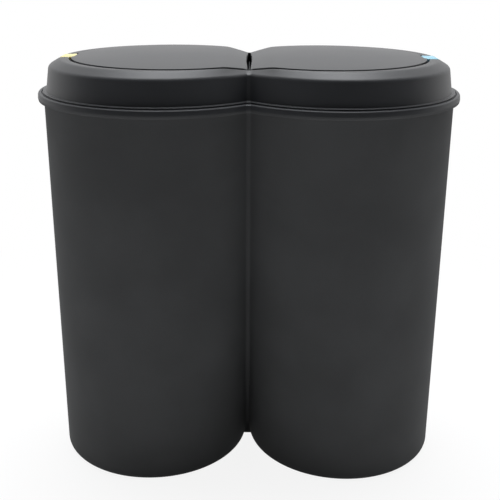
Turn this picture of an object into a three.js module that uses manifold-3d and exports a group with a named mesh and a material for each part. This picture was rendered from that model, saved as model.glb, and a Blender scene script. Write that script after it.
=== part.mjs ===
// A double recycling bin: one twin tub with two compartments, and a lid frame pressed onto its rim that
// carries two sprung flaps, hinged back to back along the middle, with a push button and latch at each end.
// Millimetres, +Z up, front towards -Y. The origin is on the floor, under the middle of the bin.
import * as THREE from 'three';
import { mergeVertices } from 'three/addons/utils/BufferGeometryUtils.js';
import Module from 'manifold-3d';

const wasm = await Module();
wasm.setup();

// ---- Driving sizes: the tub ----
const bodyHeight = 491.7; // floor to the top of the rim
const rimRadius = 158; // outer radius of the rim round each compartment
const rimSpacing = 108; // from the middle of the bin to the centre of each rim, which makes 532 across both
const rimReach = 7.2; // how far the rim stands out from the wall
const rimDrop = 9.8; // height of the rim's turned-down lip
const baseRadius = 125.1; // outer radius of each base
const baseShift = 20.5; // how much farther apart the bases are than the rims, a side
const wall = 2.4;
const floorThickness = 3;
const footDepth = 4; // how far the floor is raised off the ground inside the foot ring
const footRing = 15; // width of the foot ring
const baseFillet = 9;
const webHalf = 2.5; // half the thickness of the web that joins the two compartments
const webReach = 12; // half the depth of the web where the two bases don't meet
const partition = 2.4; // wall between the compartments
const partitionDrop = 11; // how far the partition stops below the rim

// ---- Driving sizes: the lid frame, with heights above its seat on the rim ----
const seatGap = 0.3; // between the lid's lip and the rim
const plugGap = 1.2; // between the lid's plug and the mouth of the tub
const plugDepth = 9; // how deep the plug reaches into the mouth
const skirtInset = 0.8; // how far the skirt's foot stands inside the tub's mouth
const lipReach = 4.2; // how far the lip stands out from the skirt
const lipHeight = 1.5;
const skirtHeight = 28.5; // seat to the start of the rounded edge
const skirtTaper = 3.8; // how much the skirt draws in over its height
const edgeRise = 32.8; // seat to the foot of the sloping top
const edgeRound = 2.2; // how much the rounded edge draws in
const mouthRise = 40.4; // seat to the edge of the flaps' opening
const waistRise = 35.4; // the same edge where the two openings meet
const slopeWidth = 13.6; // width of the slope that runs round the lid, inside its edge
const mouthInset = 14.8; // from the lid's edge to the opening, at the front
const mouthShift = 9.2; // how much nearer to the middle each opening's centre is than its rim's
const waistInset = 8.45; // the same where the two sides meet, at the ends of the hinge line
const kinkReach = 29; // how far from the middle the top begins to dip towards the hinge line
const ledgeWidth = 6.9; // ledge that the flaps rest on
const ledgeThickness = 2;
const frameWall = 2.4;

// ---- Driving sizes: flaps and hinges ----
const flapGap = 2; // between a flap's rim and the frame
const cornerGap = 4.2; // the same at the hinge line's ends, where the flap's corners swing down
const flapThickness = 2.4;
const flapProud = 0.5; // how far a closed flap's rim stands above the frame
const flapRest = 0.9; // between a closed flap and its ledge
const domeRise = 6; // how far the middle of a flap stands above its rim
const slotHalf = 3.1; // half the gap between the two flaps along the hinge line
const ribDepth = 5; // stiffening rib under a flap
const ribWidth = 2;
const ribInset = 8.2;
const hingeReach = 7.5; // from the middle of the bin to each hinge pin
const hingeRise = 32.7; // seat to the hinge pins
const pinRadius = 1.1;
const pinShare = 0.73; // of the hinge line's length
const boreGap = 0.35; // round a pin or screw
const earRadius = 2.5;
const earWidth = 6;
const outerShare = 0.67; // how far along each half of the hinge line its outer ear stands
const innerShare = 0.29;
const knuckleWidth = 8;
const knuckleGap = 0.5;
const hingeEase = 2.5; // how much of a flap's edge is taken off along the hinge line
const hingeLip = 1; // how far below the pin a flap's hinge edge hangs
const hingeLipWidth = 1.4;
const stemReach = 1.8; // from the pin to the stem of an ear
const stemWidth = 4;
const middleRib = 20; // height of the beam's middle rib

// ---- Driving sizes: buttons and latches ----
const buttonLength = 17.8; // along the bin's width
const buttonWidth = 30;
const buttonInset = 12; // from the button's outer end to the lid's edge
const buttonGap = 0.6;
const buttonWall = 1.8;
const buttonProud = 0.6; // how far the button stands above the lid
const buttonTravel = 3.5;
const flangeReach = 1.6; // keeps the button from leaving its well
const flangeRise = 20.6;
const flangeThickness = 2;
const wellWall = 2;
const wellStep = 1.8; // how much wider the well is below the flange's stop
const trayRise = 8.8; // seat to the underside of the latch tray
const trayThickness = 2.2;
const trayEar = 9; // how far the tray's screw ears stand out past the well
const latchGap = 0.4;
const latchThickness = 2.4;
const latchWidth = 24;
const latchEngage = 2.7; // overlap of the latch and the flap's catch
const catchPass = 2; // between the catch and the well as the flap swings
const catchLip = 3.4;
const catchGap = 0.5; // between the latch and the catch
const catchThickness = 2;
const catchWidth = 16;
const wedgeInner = 7; // the button's two wedges lie between these distances from its middle
const wedgeOuter = 12;
const wireHinge = 1.1;
const wireButton = 0.9;
const coilHinge = 2.4; // mean radius of the hinge springs
const legGap = 0.4; // between a hinge spring's leg and the flap
const coilButton = 3; // mean radius of the button springs
const screwRadius = 1.4;
const screwHead = 3;
const screwHeadHeight = 1.9;
const screwLength = 13;
const arcSteps = 28; // steps round each compartment
const hingeSteps = 8; // steps along a flap's hinge edge

const trimmed = 1000; // longer than anything it cuts

// ---- Sizes that follow from these ----
const baseSpacing = rimSpacing + baseShift;
const mouthSpacing = rimSpacing - mouthShift; // from the middle of the bin to the centre of each opening
const wallTopRadius = rimRadius - rimReach;
const tubMouth = wallTopRadius - wall;
const tubRadius = (z) => mix(baseRadius, wallTopRadius, z / bodyHeight);
const tubSpacing = (z) => mix(baseSpacing, rimSpacing, z / bodyHeight);
const skirtRadius = tubMouth - skirtInset; // at the seat
const skirtAt = (z) => skirtRadius - (skirtTaper * z) / skirtHeight;
const edgeRadius = skirtRadius - skirtTaper - edgeRound;
const mouthRadius = edgeRadius - mouthInset;
const waistHalf = twinCorner(edgeRadius, rimSpacing).y - waistInset; // half the length of the hinge line
const buttonEnd = rimSpacing + edgeRadius - buttonInset; // from the middle of the bin to the button's outer end

// ---- Finishes ----
const anthracite = { color: 0x37383b, roughness: 0.55, metalness: 0 };
const finishes = {
  body: anthracite,
  lid: { color: 0x3b3c3f, roughness: 0.5, metalness: 0 },
  yellow: { color: 0xe4d487, roughness: 0.4, metalness: 0 },
  blue: { color: 0x89c1d6, roughness: 0.4, metalness: 0 },
  latch: { color: 0x1f2022, roughness: 0.5, metalness: 0 },
  steel: { color: 0xb9bcc0, roughness: 0.3, metalness: 1 },
};

// ---- Helpers ----
const mix = (a, b, t) => a + (b - a) * t;

// A closed surface through rings of equally many points, listed up the outside and down the inside.
// It is either closed on itself, or closed by a flat face over its first and its last ring.
function loft(rings, looped = false) {
  const count = rings[0].length;
  const positions = rings.flat().flatMap((p) => [p.x, p.y, p.z]);
  const indices = [];
  const bands = looped ? rings.length : rings.length - 1;
  for (let band = 0; band < bands; band += 1) {
    const low = band * count;
    const high = ((band + 1) % rings.length) * count;
    for (let i = 0; i < count; i += 1) {
      const j = (i + 1) % count;
      indices.push(low + i, low + j, high + j);
      indices.push(low + i, high + j, high + i);
    }
  }
  if (!looped) {
    const last = (rings.length - 1) * count;
    const flat = (ring) => ring.map((p) => new THREE.Vector2(p.x, p.y));
    for (const [a, b, c] of THREE.ShapeUtils.triangulateShape(flat(rings[0]), [])) {
      indices.push(c, b, a);
    }
    for (const [a, b, c] of THREE.ShapeUtils.triangulateShape(flat(rings.at(-1)), [])) {
      indices.push(last + a, last + b, last + c);
    }
  }
  const geometry = new THREE.BufferGeometry();
  geometry.setAttribute('position', new THREE.Float32BufferAttribute(positions, 3));
  geometry.setIndex(indices);
  return geometry;
}

function solid(geometry) {
  const bare = geometry.clone();
  bare.deleteAttribute('normal');
  bare.deleteAttribute('uv');
  const merged = mergeVertices(bare, 1e-3);
  const index = merged.index.array;
  const triVerts = [];
  for (let i = 0; i < index.length; i += 3) {
    const [a, b, c] = [index[i], index[i + 1], index[i + 2]];
    if (a !== b && b !== c && c !== a) triVerts.push(a, b, c);
  }
  const vertProperties = new Float32Array(merged.attributes.position.array);
  return new wasm.Manifold(new wasm.Mesh({ numProp: 3, vertProperties, triVerts: new Uint32Array(triVerts) }));
}

function geometryOf(manifold) {
  const { vertProperties, triVerts } = manifold.getMesh();
  const geometry = new THREE.BufferGeometry();
  geometry.setAttribute('position', new THREE.BufferAttribute(new Float32Array(vertProperties), 3));
  geometry.setIndex(new THREE.BufferAttribute(new Uint32Array(triVerts), 1));
  return geometry;
}

// A box from its limits along each axis.
function block([x0, x1], [y0, y1], [z0, z1]) {
  const box = new THREE.BoxGeometry(x1 - x0, y1 - y0, z1 - z0);
  return solid(box.translate((x0 + x1) / 2, (y0 + y1) / 2, (z0 + z1) / 2));
}

// A rod along Z between two heights.
function post(radius, x, y, [z0, z1], sides = 20) {
  const rod = new THREE.CylinderGeometry(radius, radius, z1 - z0, sides).rotateX(Math.PI / 2);
  return solid(rod.translate(x, y, (z0 + z1) / 2));
}

// A rod along Y between two places.
function axle(radius, x, z, [y0, y1], sides = 16) {
  const rod = new THREE.CylinderGeometry(radius, radius, y1 - y0, sides);
  return solid(rod.translate(x, (y0 + y1) / 2, z));
}

// An outline in X and Z, extruded along Y.
function slab(outline, [y0, y1]) {
  const shape = new THREE.Shape(outline.map(([x, z]) => new THREE.Vector2(x, z)));
  const slice = new THREE.ExtrudeGeometry(shape, { depth: y1 - y0, bevelEnabled: false });
  return solid(slice.rotateX(Math.PI / 2).translate(0, y1, 0));
}

const mirroredX = (manifold) => manifold.mirror([1, 0, 0]);
const both = (manifold) => manifold.add(mirroredX(manifold));

// ---- Outlines ----

// The tub's outline seen from above: two equal circles about (+-spacing, 0), joined by a web at the middle.
// Where the circles are too far apart to meet the web, it bridges them.
function twinCorner(radius, spacing) {
  const reach = Math.sqrt(Math.max(radius ** 2 - (spacing - webHalf) ** 2, 0));
  const y = Math.max(reach, webReach);
  const x = Math.max(spacing - Math.sqrt(radius ** 2 - y ** 2), webHalf);
  return { x, y };
}

function twinRing(radius, z, spacing = rimSpacing) {
  const corner = twinCorner(radius, spacing);
  const from = Math.atan2(-corner.y, corner.x - spacing);
  const points = [];
  for (const side of [1, -1]) {
    for (let i = 0; i <= arcSteps; i += 1) {
      const angle = mix(from, -from, i / arcSteps);
      const x = spacing + radius * Math.cos(angle);
      const y = radius * Math.sin(angle);
      points.push(new THREE.Vector3(side * x, side * y, z));
    }
  }
  return points;
}

// The edge of the flaps' openings: an arc round each opening, then straight to the hinge line's end.
const kinkAngle = Math.acos((kinkReach - mouthSpacing) / mouthRadius);

function mouthHalf(grow, waistX, waistGrow = grow) {
  const straight = 2;
  const corner = [waistX, -(waistHalf + waistGrow)];
  const kink = [
    mouthSpacing + (mouthRadius + grow) * Math.cos(kinkAngle),
    -(mouthRadius + grow) * Math.sin(kinkAngle),
  ];
  const points = [];
  for (let i = 0; i < straight; i += 1) {
    points.push([mix(corner[0], kink[0], i / straight), mix(corner[1], kink[1], i / straight)]);
  }
  const steps = arcSteps - 2 * straight;
  for (let i = 0; i <= steps; i += 1) {
    const angle = mix(-kinkAngle, kinkAngle, i / steps);
    points.push([
      mouthSpacing + (mouthRadius + grow) * Math.cos(angle),
      (mouthRadius + grow) * Math.sin(angle),
    ]);
  }
  for (let i = straight - 1; i >= 0; i -= 1) {
    points.push([mix(corner[0], kink[0], i / straight), -mix(corner[1], kink[1], i / straight)]);
  }
  return points;
}

// Height of the lid's edge or of a flap at a place on it: level round each opening, dipping to the waist,
// and for a flap a little above that, with its dome.
function topHeight(x, y, domed = true) {
  const dip = Math.max(0, 1 - (Math.abs(x) - webHalf) / (kinkReach - webHalf));
  const level = mix(mouthRise, waistRise, Math.min(dip, 1));
  const out = Math.hypot(Math.abs(x) - mouthSpacing, y) / mouthRadius;
  return level + (domed ? flapProud + domeRise * Math.max(0, 1 - out ** 2) : 0);
}

function mouthRing(grow, drop) {
  const right = mouthHalf(grow, webHalf);
  const points = [];
  for (const side of [1, -1]) {
    for (const [x, y] of right) {
      points.push(new THREE.Vector3(side * x, side * y, topHeight(x, y, false) - drop));
    }
  }
  return points;
}

// ---- The tub ----
function tub() {
  const rimFoot = bodyHeight - rimDrop;
  const bands = 6;
  const outside = [
    twinRing(baseRadius - baseFillet, 0, baseSpacing),
    twinRing(baseRadius - 0.3 * baseFillet, 0.3 * baseFillet, baseSpacing),
  ];
  for (let i = 0; i <= bands; i += 1) {
    const z = mix(baseFillet, rimFoot + rimDrop - 4.6, (i / bands) ** 2);
    outside.push(twinRing(tubRadius(z), z, tubSpacing(z)));
  }
  // The rim goes out, down its inner side, round the lip's foot, up its face and over its rounded top.
  const rim = [
    [rimReach - 6.2, rimDrop - 3.6],
    [rimReach - 2.6, rimDrop - 2.8],
    [rimReach - 2.2, rimDrop - 4],
    [rimReach - 2, 0.9],
    [rimReach - 1.5, 0.2],
    [rimReach - 0.9, 0.2],
    [rimReach - 0.2, 1.4],
    [rimReach, 3.2],
    [rimReach - 0.1, rimDrop - 4],
    [rimReach - 0.8, rimDrop - 1.6],
    [rimReach - 2, rimDrop - 0.3],
    [rimReach - 3.2, rimDrop],
    [rimReach - 4.6, rimDrop],
    [rimReach - 5, rimDrop - 1],
    [rimReach - 5.8, rimDrop - 1],
    [rimReach - 6, rimDrop],
    [-wall - 2, rimDrop],
  ];
  for (const [out, up] of rim) outside.push(twinRing(wallTopRadius + out, rimFoot + up));
  let shell = solid(loft(outside));

  const cavityFillet = 5;
  const floor = footDepth + floorThickness;
  const steps = 2 * arcSteps;
  const circle = (inset, z, grown = 0) => {
    const at = Math.min(z, bodyHeight);
    const radius = tubRadius(at) - wall - inset + grown;
    return Array.from({ length: steps }, (_, i) => {
      const angle = (i / steps) * 2 * Math.PI;
      const x = tubSpacing(at) + radius * Math.cos(angle);
      return new THREE.Vector3(x, radius * Math.sin(angle), z);
    });
  };
  const bore = solid(loft([
    circle(cavityFillet, floor),
    circle(0.3 * cavityFillet, floor + 0.3 * cavityFillet),
    circle(0, floor + cavityFillet),
    circle(0, bodyHeight + 1),
  ]));
  const cavity = bore.subtract(block([-trimmed, partition / 2], [-trimmed, trimmed], [-1, trimmed]));
  const recess = post(baseRadius - footRing, baseSpacing, 0, [-1, footDepth], 48);
  const notchY = twinCorner(tubMouth, rimSpacing).y;
  const notch = block([-webHalf, webHalf], [-notchY, notchY], [bodyHeight - partitionDrop, bodyHeight + 1]);
  shell = shell.subtract(both(cavity)).subtract(both(recess)).subtract(notch);
  return geometryOf(shell);
}

// ---- The lid frame ----
const pinHalf = pinShare * waistHalf;
const outerEar = outerShare * waistHalf;
const innerEar = innerShare * waistHalf;
const plugRadius = tubMouth - plugGap;
const wellInner = buttonEnd - buttonLength - buttonGap;
const wellOuter = buttonEnd + buttonGap;
const wellHalf = buttonWidth / 2 + buttonGap;
const trayTop = trayRise + trayThickness;
const wellFoot = trayTop + seatGap;
const wellStop = flangeRise + flangeThickness + latchGap;
const screwAt = wellHalf + wellStep + wellWall + trayEar / 2;
const screwReach = (wellInner + wellOuter) / 2;
const ledgeDrop = flapThickness + flapRest - flapProud;
const beamHalf = 22;
const beamRise = trayRise - 0.8;

// Height of the top at the bin's ends: level from the opening outwards, then sloping down to the lid's edge.
const slopeAt = (x) => {
  const out = x - (rimSpacing + edgeRadius - slopeWidth);
  return mix(mouthRise, edgeRise, Math.max(0, out / slopeWidth));
};

// The ring where the level part ends and the slope begins, drawn in and lowered from there. Where an opening
// comes nearer to the lid's edge than the slope is wide, the slope begins at the opening.
function shoulderRing(inset, drop) {
  const mouth = mouthRing(0, 0);
  return twinRing(edgeRadius, edgeRise).map((edge, i) => {
    const length = Math.hypot(mouth[i].x - edge.x, mouth[i].y - edge.y);
    const share = (Math.min(0.97 * length, slopeWidth) - inset) / length;
    const z = mouth[i].z - drop;
    return new THREE.Vector3(mix(edge.x, mouth[i].x, share), mix(edge.y, mouth[i].y, share), z);
  });
}

function frameShell() {
  return solid(loft([
    twinRing(plugRadius - 0.8, -plugDepth),
    twinRing(plugRadius, 0),
    twinRing(skirtRadius + lipReach, 0),
    twinRing(skirtRadius + lipReach, lipHeight),
    twinRing(skirtAt(lipHeight + 0.8), lipHeight + 0.8),
    twinRing(skirtAt(skirtHeight), skirtHeight),
    twinRing(edgeRadius + 0.7 * edgeRound, edgeRise - 1.8),
    twinRing(edgeRadius, edgeRise),
    shoulderRing(0, 0),
    mouthRing(0, 0),
    mouthRing(0, ledgeDrop),
    mouthRing(-ledgeWidth, ledgeDrop),
    mouthRing(-ledgeWidth, ledgeDrop + ledgeThickness),
    mouthRing(1.8, ledgeDrop + ledgeThickness),
    shoulderRing(2.4, 3.8),
    twinRing(edgeRadius - 2.2, edgeRise - 3.2),
    twinRing(skirtAt(skirtHeight) - frameWall, skirtHeight - 2),
    twinRing(skirtAt(4) - frameWall, 4),
    twinRing(plugRadius - frameWall, 0),
    twinRing(plugRadius - 0.8 - frameWall, -plugDepth),
  ], true));
}

// Everything inside the skirt, up to the middle of its wall.
function insideSkirt() {
  const inset = frameWall / 2;
  return solid(loft([
    twinRing(skirtAt(1) - inset, 1),
    twinRing(skirtAt(skirtHeight) - inset, skirtHeight),
    twinRing(edgeRadius - inset, edgeRise - inset / 2),
    twinRing(edgeRadius - slopeWidth - inset / 2, mouthRise - inset),
  ]));
}

function hingeEars() {
  const ears = [];
  for (const middle of [-outerEar, -innerEar, innerEar, outerEar]) {
    const along = [middle - earWidth / 2, middle + earWidth / 2];
    ears.push(axle(earRadius, hingeReach, hingeRise, along));
    const stem = [hingeReach + stemReach, hingeReach + stemReach + stemWidth];
    ears.push(block(stem, along, [beamRise, hingeRise]));
  }
  return ears.reduce((sum, ear) => sum.add(ear));
}

function latchWell() {
  const y = wellHalf + wellStep + wellWall;
  const inner = wellInner - wellWall;
  const outer = wellOuter + wellWall;
  const middle = (wellInner + wellOuter) / 2;
  let well = block([middle, outer], [-y, y], [wellFoot, slopeAt(outer) - frameWall / 2]);
  well = well.add(block([inner, middle + 1], [-y, y], [wellFoot, mouthRise - ledgeDrop - 1]));
  const postTop = slopeAt(screwReach + 3.6) - frameWall / 2;
  for (const side of [-1, 1]) {
    const between = side > 0 ? [y - 1, screwAt] : [-screwAt, 1 - y];
    well = well.add(post(3.6, screwReach, side * screwAt, [wellFoot, postTop], 16));
    well = well.add(block([screwReach - 1, screwReach + 1], between, [wellFoot, postTop]));
  }
  return well;
}

function wellHollow() {
  const upper = block([wellInner, wellOuter], [-wellHalf, wellHalf], [wellStop - 0.1, trimmed]);
  const wide = wellHalf + wellStep;
  const lower = block([wellInner, wellOuter], [-wide, wide], [wellFoot - 1, wellStop]);
  const windowHalf = latchWidth / 2 + buttonGap;
  const windowTop = trayTop + latchGap + latchThickness + buttonGap;
  const through = block([wellInner - 5, wellInner + 1], [-windowHalf, windowHalf], [wellFoot - 1, windowTop]);
  let hollow = upper.add(lower).add(through);
  for (const side of [-1, 1]) {
    const pilot = [wellFoot - 1, trayRise + screwLength + 2];
    hollow = hollow.add(post(screwRadius + boreGap, screwReach, side * screwAt, pilot, 12));
  }
  return hollow;
}

function lidFrame() {
  const beam = block([-beamHalf, beamHalf], [-trimmed, trimmed], [beamRise, beamRise + frameWall])
    .add(both(block([beamHalf - 2, beamHalf], [-trimmed, trimmed], [beamRise, beamRise + 7])))
    .add(block([-0.9, 0.9], [-trimmed, trimmed], [beamRise, beamRise + middleRib]));
  const carried = beam.add(both(hingeEars())).add(both(latchWell())).intersect(insideSkirt());

  // The flaps' hinge edges roll down between the ledges, so these stop short of the hinge line.
  const clear = hingeReach + 3;
  const yAt = (x) => mix(waistHalf, mouthRadius * Math.sin(kinkAngle), (x - webHalf) / (kinkReach - webHalf));
  const throat = new THREE.Shape([
    new THREE.Vector2(-clear, -yAt(clear)),
    new THREE.Vector2(-webHalf, -waistHalf),
    new THREE.Vector2(webHalf, -waistHalf),
    new THREE.Vector2(clear, -yAt(clear)),
    new THREE.Vector2(clear, yAt(clear)),
    new THREE.Vector2(webHalf, waistHalf),
    new THREE.Vector2(-webHalf, waistHalf),
    new THREE.Vector2(-clear, yAt(clear)),
  ]);
  const throatDepth = { depth: 3 * ledgeDrop + ledgeThickness, bevelEnabled: false };
  const throatCut = solid(new THREE.ExtrudeGeometry(throat, throatDepth).translate(0, 0, hingeRise - 2.5));

  const bore = axle(pinRadius + boreGap, hingeReach, hingeRise, [-pinHalf - 1, pinHalf + 1]);
  const frame = frameShell()
    .subtract(throatCut)
    .add(carried)
    .subtract(both(bore))
    .subtract(both(wellHollow()));
  return geometryOf(frame);
}

// ---- Flaps ----
const catchFace = wellInner - wellWall - catchPass - catchLip; // inner side of the catch's lip
const catchTop = trayTop + latchGap - catchGap;

const flapMiddle = mouthSpacing - 9.8; // the rings of a flap shrink towards this place

function flapRing(shrink, drop) {
  const outline = mouthHalf(-flapGap, slotHalf, -cornerGap);
  const end = waistHalf - cornerGap;
  for (let i = 1; i < hingeSteps; i += 1) outline.push([slotHalf, mix(end, -end, i / hingeSteps)]);
  return outline.map(([x, y]) => {
    const px = mix(flapMiddle, x, shrink);
    const py = y * shrink;
    const eased = Math.max(0, slotHalf + hingeEase - px);
    return new THREE.Vector3(px, py, topHeight(px, py) - Math.max(drop, eased));
  });
}

function flap() {
  const easedAt = 1 - hingeEase / (flapMiddle - slotHalf);
  const shrinks = [0.04, 0.3, 0.55, 0.78, 0.93, easedAt, 1];
  const under = shrinks.map((shrink) => flapRing(shrink, flapThickness));
  const over = [...shrinks].reverse().map((shrink) => flapRing(shrink, 0));
  const panel = solid(loft([...under, ...over]));

  // A stiffening rib follows the rim underneath, as far as the dip towards the hinge line.
  const ribTop = mouthRise + domeRise;
  const ring = (radius) => post(radius, mouthSpacing, 0, [mouthRise - flapThickness - ribDepth, ribTop], 56);
  const ribOuter = mouthRadius - flapGap - ribInset;
  const level = flapRing(1, 0).map((p) => new THREE.Vector3(p.x, p.y, 0));
  const roof = [...shrinks].reverse().map((shrink) => flapRing(shrink, flapThickness - 0.6));
  const underside = solid(loft([level, ...roof]));
  const rib = ring(ribOuter)
    .subtract(ring(ribOuter - ribWidth))
    .subtract(block([-trimmed, kinkReach], [-trimmed, trimmed], [-trimmed, trimmed]))
    .intersect(underside);

  // The hinge edge turns down, and the knuckles hang from the panel round the pin.
  const lipEnd = waistHalf - 3;
  const lip = block([slotHalf, slotHalf + hingeLipWidth], [-lipEnd, lipEnd], [hingeRise - hingeLip, trimmed]);
  let hinge = lip.intersect(underside);
  for (const near of [innerEar + earWidth / 2 + knuckleGap, outerEar - earWidth / 2 - knuckleGap - knuckleWidth]) {
    for (const along of [[near, near + knuckleWidth], [-near - knuckleWidth, -near]]) {
      const stem = block([hingeReach - 1.8, hingeReach + 1.8], along, [hingeRise, trimmed]);
      hinge = hinge.add(axle(earRadius - 0.2, hingeReach, hingeRise, along)).add(stem.intersect(underside));
    }
  }
  const bore = axle(pinRadius + boreGap, hingeReach, hingeRise, [-pinHalf - 1, pinHalf + 1]);

  // The catch hangs from the free end, with its lip under the latch.
  const half = catchWidth / 2;
  const catchFoot = catchTop - catchThickness - 1;
  const tongue = block([catchFace - catchThickness, catchFace], [-half, half], [catchFoot, trimmed]);
  const lipShape = [
    [catchFace - 0.5, catchFoot],
    [catchFace + catchLip - 1.4, catchFoot],
    [catchFace + catchLip, catchFoot + 1.2],
    [catchFace + catchLip, catchTop],
    [catchFace - 0.5, catchTop],
  ];
  const catchHook = slab(lipShape, [-half, half]);

  const notchHalf = wellHalf + 0.6;
  const notch = block([wellInner - 0.6, trimmed], [-notchHalf, notchHalf], [-trimmed, trimmed]);
  return panel.add(rib).add(hinge).subtract(bore).add(tongue.intersect(underside)).add(catchHook).subtract(notch);
}

// ---- Buttons and latches, laid out for the right-hand end ----
const buttonInner = buttonEnd - buttonLength;
const springReach = wellInner + 11.9;
const springFoot = trayTop + 0.35;
const springHead = springFoot + 20;
const wedgeFoot = trayTop + buttonTravel + 0.4;
const wedgeGap = 0.5;

function button() {
  const half = buttonWidth / 2;
  const crown = [
    [buttonInner, mouthRise + buttonProud],
    [buttonInner + 3, mouthRise + buttonProud],
    [buttonInner + 7, slopeAt(buttonInner + 7) + buttonProud],
    [buttonEnd - 1, slopeAt(buttonEnd - 1) + buttonProud],
    [buttonEnd, slopeAt(buttonEnd) + buttonProud - 0.8],
  ];
  const outline = [[buttonInner, flangeRise], [buttonEnd, flangeRise], ...[...crown].reverse()];
  const inner = [
    [buttonInner + buttonWall, flangeRise - 1],
    [buttonEnd - buttonWall, flangeRise - 1],
    [buttonEnd - buttonWall, slopeAt(buttonEnd) - buttonWall],
    [buttonInner + 7, slopeAt(buttonInner + 7) - buttonWall],
    [buttonInner + buttonWall, mouthRise - buttonWall],
  ];
  const flangeY = half + flangeReach;
  const flangeZ = [flangeRise, flangeRise + flangeThickness];
  let body = slab(outline, [-half, half]).add(block([buttonInner, buttonEnd], [-flangeY, flangeY], flangeZ));
  body = body.subtract(slab(inner, [-half + buttonWall, half - buttonWall]));
  const wedge = [
    [buttonInner + 1, wedgeFoot],
    [buttonInner + 1, mouthRise - 1],
    [buttonInner + 1 + 10, slopeAt(buttonInner + 11) - 1],
    [buttonInner + 1 + 10, wedgeFoot + 10],
  ];
  for (const side of [-1, 1]) {
    const along = side > 0 ? [wedgeInner, wedgeOuter] : [-wedgeOuter, -wedgeInner];
    body = body.add(slab(wedge, along));
  }
  const pad = block(
    [springReach - 3.6, springReach + 3.6],
    [-3.6, 3.6],
    [springHead + 0.35, slopeAt(springReach + 3.6) - 0.6],
  );
  return body.add(pad);
}

function latch() {
  const foot = trayTop + latchGap;
  const top = foot + latchThickness;
  const half = latchWidth / 2;
  const tip = catchFace + catchLip - latchEngage;
  const back = buttonEnd - buttonWall - buttonTravel - 0.5;
  const rampStart = buttonInner + 1 + (top - wedgeFoot) + wedgeGap;
  const rampTop = wedgeFoot + 5.5;
  const ramp = [
    [rampStart - 0.1, top - 0.1],
    [back, top - 0.1],
    [back, rampTop],
    [rampStart + rampTop - top, rampTop],
  ];
  const plate = [
    [tip, foot + 0.9],
    [tip + 0.9, foot],
    [back, foot],
    [back, top],
    [tip, top],
  ];
  const slotStart = springReach - coilButton - wireButton / 2 - buttonTravel - 0.6;
  const slotY = coilButton + wireButton / 2 + 0.7;
  // The wedges sink into windows in the plate as it slides outwards.
  const windowStart = buttonInner + 1 - buttonTravel - wedgeGap;
  let slider = slab(plate, [-half, half]);
  for (const side of [-1, 1]) {
    const [near, far] = [side * wedgeInner, side * wedgeOuter].sort((a, b) => a - b);
    const window = [side * (wedgeInner - wedgeGap), side * trimmed].sort((a, b) => a - b);
    slider = slider.subtract(block([windowStart, rampStart], window, [-trimmed, trimmed]));
    slider = slider.add(slab(ramp, [near, far]));
  }
  return slider.subtract(block([slotStart, trimmed], [-slotY, slotY], [-trimmed, trimmed]));
}

function tray() {
  const y = screwAt + 4.6;
  const span = [wellInner - wellWall, wellOuter + wellWall];
  let plate = block(span, [-y, y], [trayRise, trayTop]);
  const railY = latchWidth / 2 + 0.6;
  for (const along of [[railY, railY + 1.6], [-railY - 1.6, -railY]]) {
    plate = plate.add(block([wellInner + 1, wellOuter - 1.4], along, [trayTop - 0.5, trayTop + latchThickness]));
  }
  for (const side of [-1, 1]) {
    plate = plate.subtract(post(screwRadius + 2 * boreGap, screwReach, side * screwAt, [0, trimmed], 12));
  }
  return plate;
}

function screw() {
  const profile = [
    [0, 0],
    [screwHead - 0.8, 0],
    [screwHead, 0.8],
    [screwHead, screwHeadHeight],
    [screwRadius, screwHeadHeight],
    [screwRadius, screwHeadHeight + screwLength - 1.2],
    [0, screwHeadHeight + screwLength],
  ];
  return new THREE.LatheGeometry(profile.map(([r, z]) => new THREE.Vector2(r, z)), 10).rotateX(Math.PI / 2);
}

// ---- Springs ----
class Wire extends THREE.Curve {
  constructor(points) {
    super();
    this.points = points;
  }

  getPoint(t, target = new THREE.Vector3()) {
    const at = t * (this.points.length - 1);
    const i = Math.min(Math.floor(at), this.points.length - 2);
    return target.lerpVectors(this.points[i], this.points[i + 1], at - i);
  }

  getPointAt(t, target) {
    return this.getPoint(t, target);
  }

  getTangentAt(t, target = new THREE.Vector3()) {
    const last = this.points.length - 1;
    const i = Math.round(t * last);
    const [before, after] = [this.points[Math.max(i - 1, 0)], this.points[Math.min(i + 1, last)]];
    return target.subVectors(after, before).normalize();
  }
}

const stepsPerTurn = 8;

// The least distance between points on different turns, less the wire's own thickness.
function leastGap(name, points, diameter) {
  let least = Infinity;
  for (let i = 0; i < points.length; i += 1) {
    for (let j = i + stepsPerTurn - 2; j < points.length; j += 1) {
      least = Math.min(least, points[i].distanceTo(points[j]));
    }
  }
  console.log(`${name}: least gap of the wire to itself ${(least - diameter).toFixed(2)} mm`);
}

function wireTube(name, points, diameter) {
  leastGap(name, points, diameter);
  const sides = 5;
  const section = new THREE.Shape();
  for (let i = 0; i < sides; i += 1) {
    const angle = (i / sides) * 2 * Math.PI;
    const x = (diameter / 2) * Math.cos(angle);
    const y = (diameter / 2) * Math.sin(angle);
    if (i === 0) section.moveTo(x, y);
    else section.lineTo(x, y);
  }
  section.closePath();
  const steps = points.length - 1;
  const path = new Wire(points);
  return new THREE.ExtrudeGeometry(section, { steps, extrudePath: path, bevelEnabled: false });
}

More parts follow.
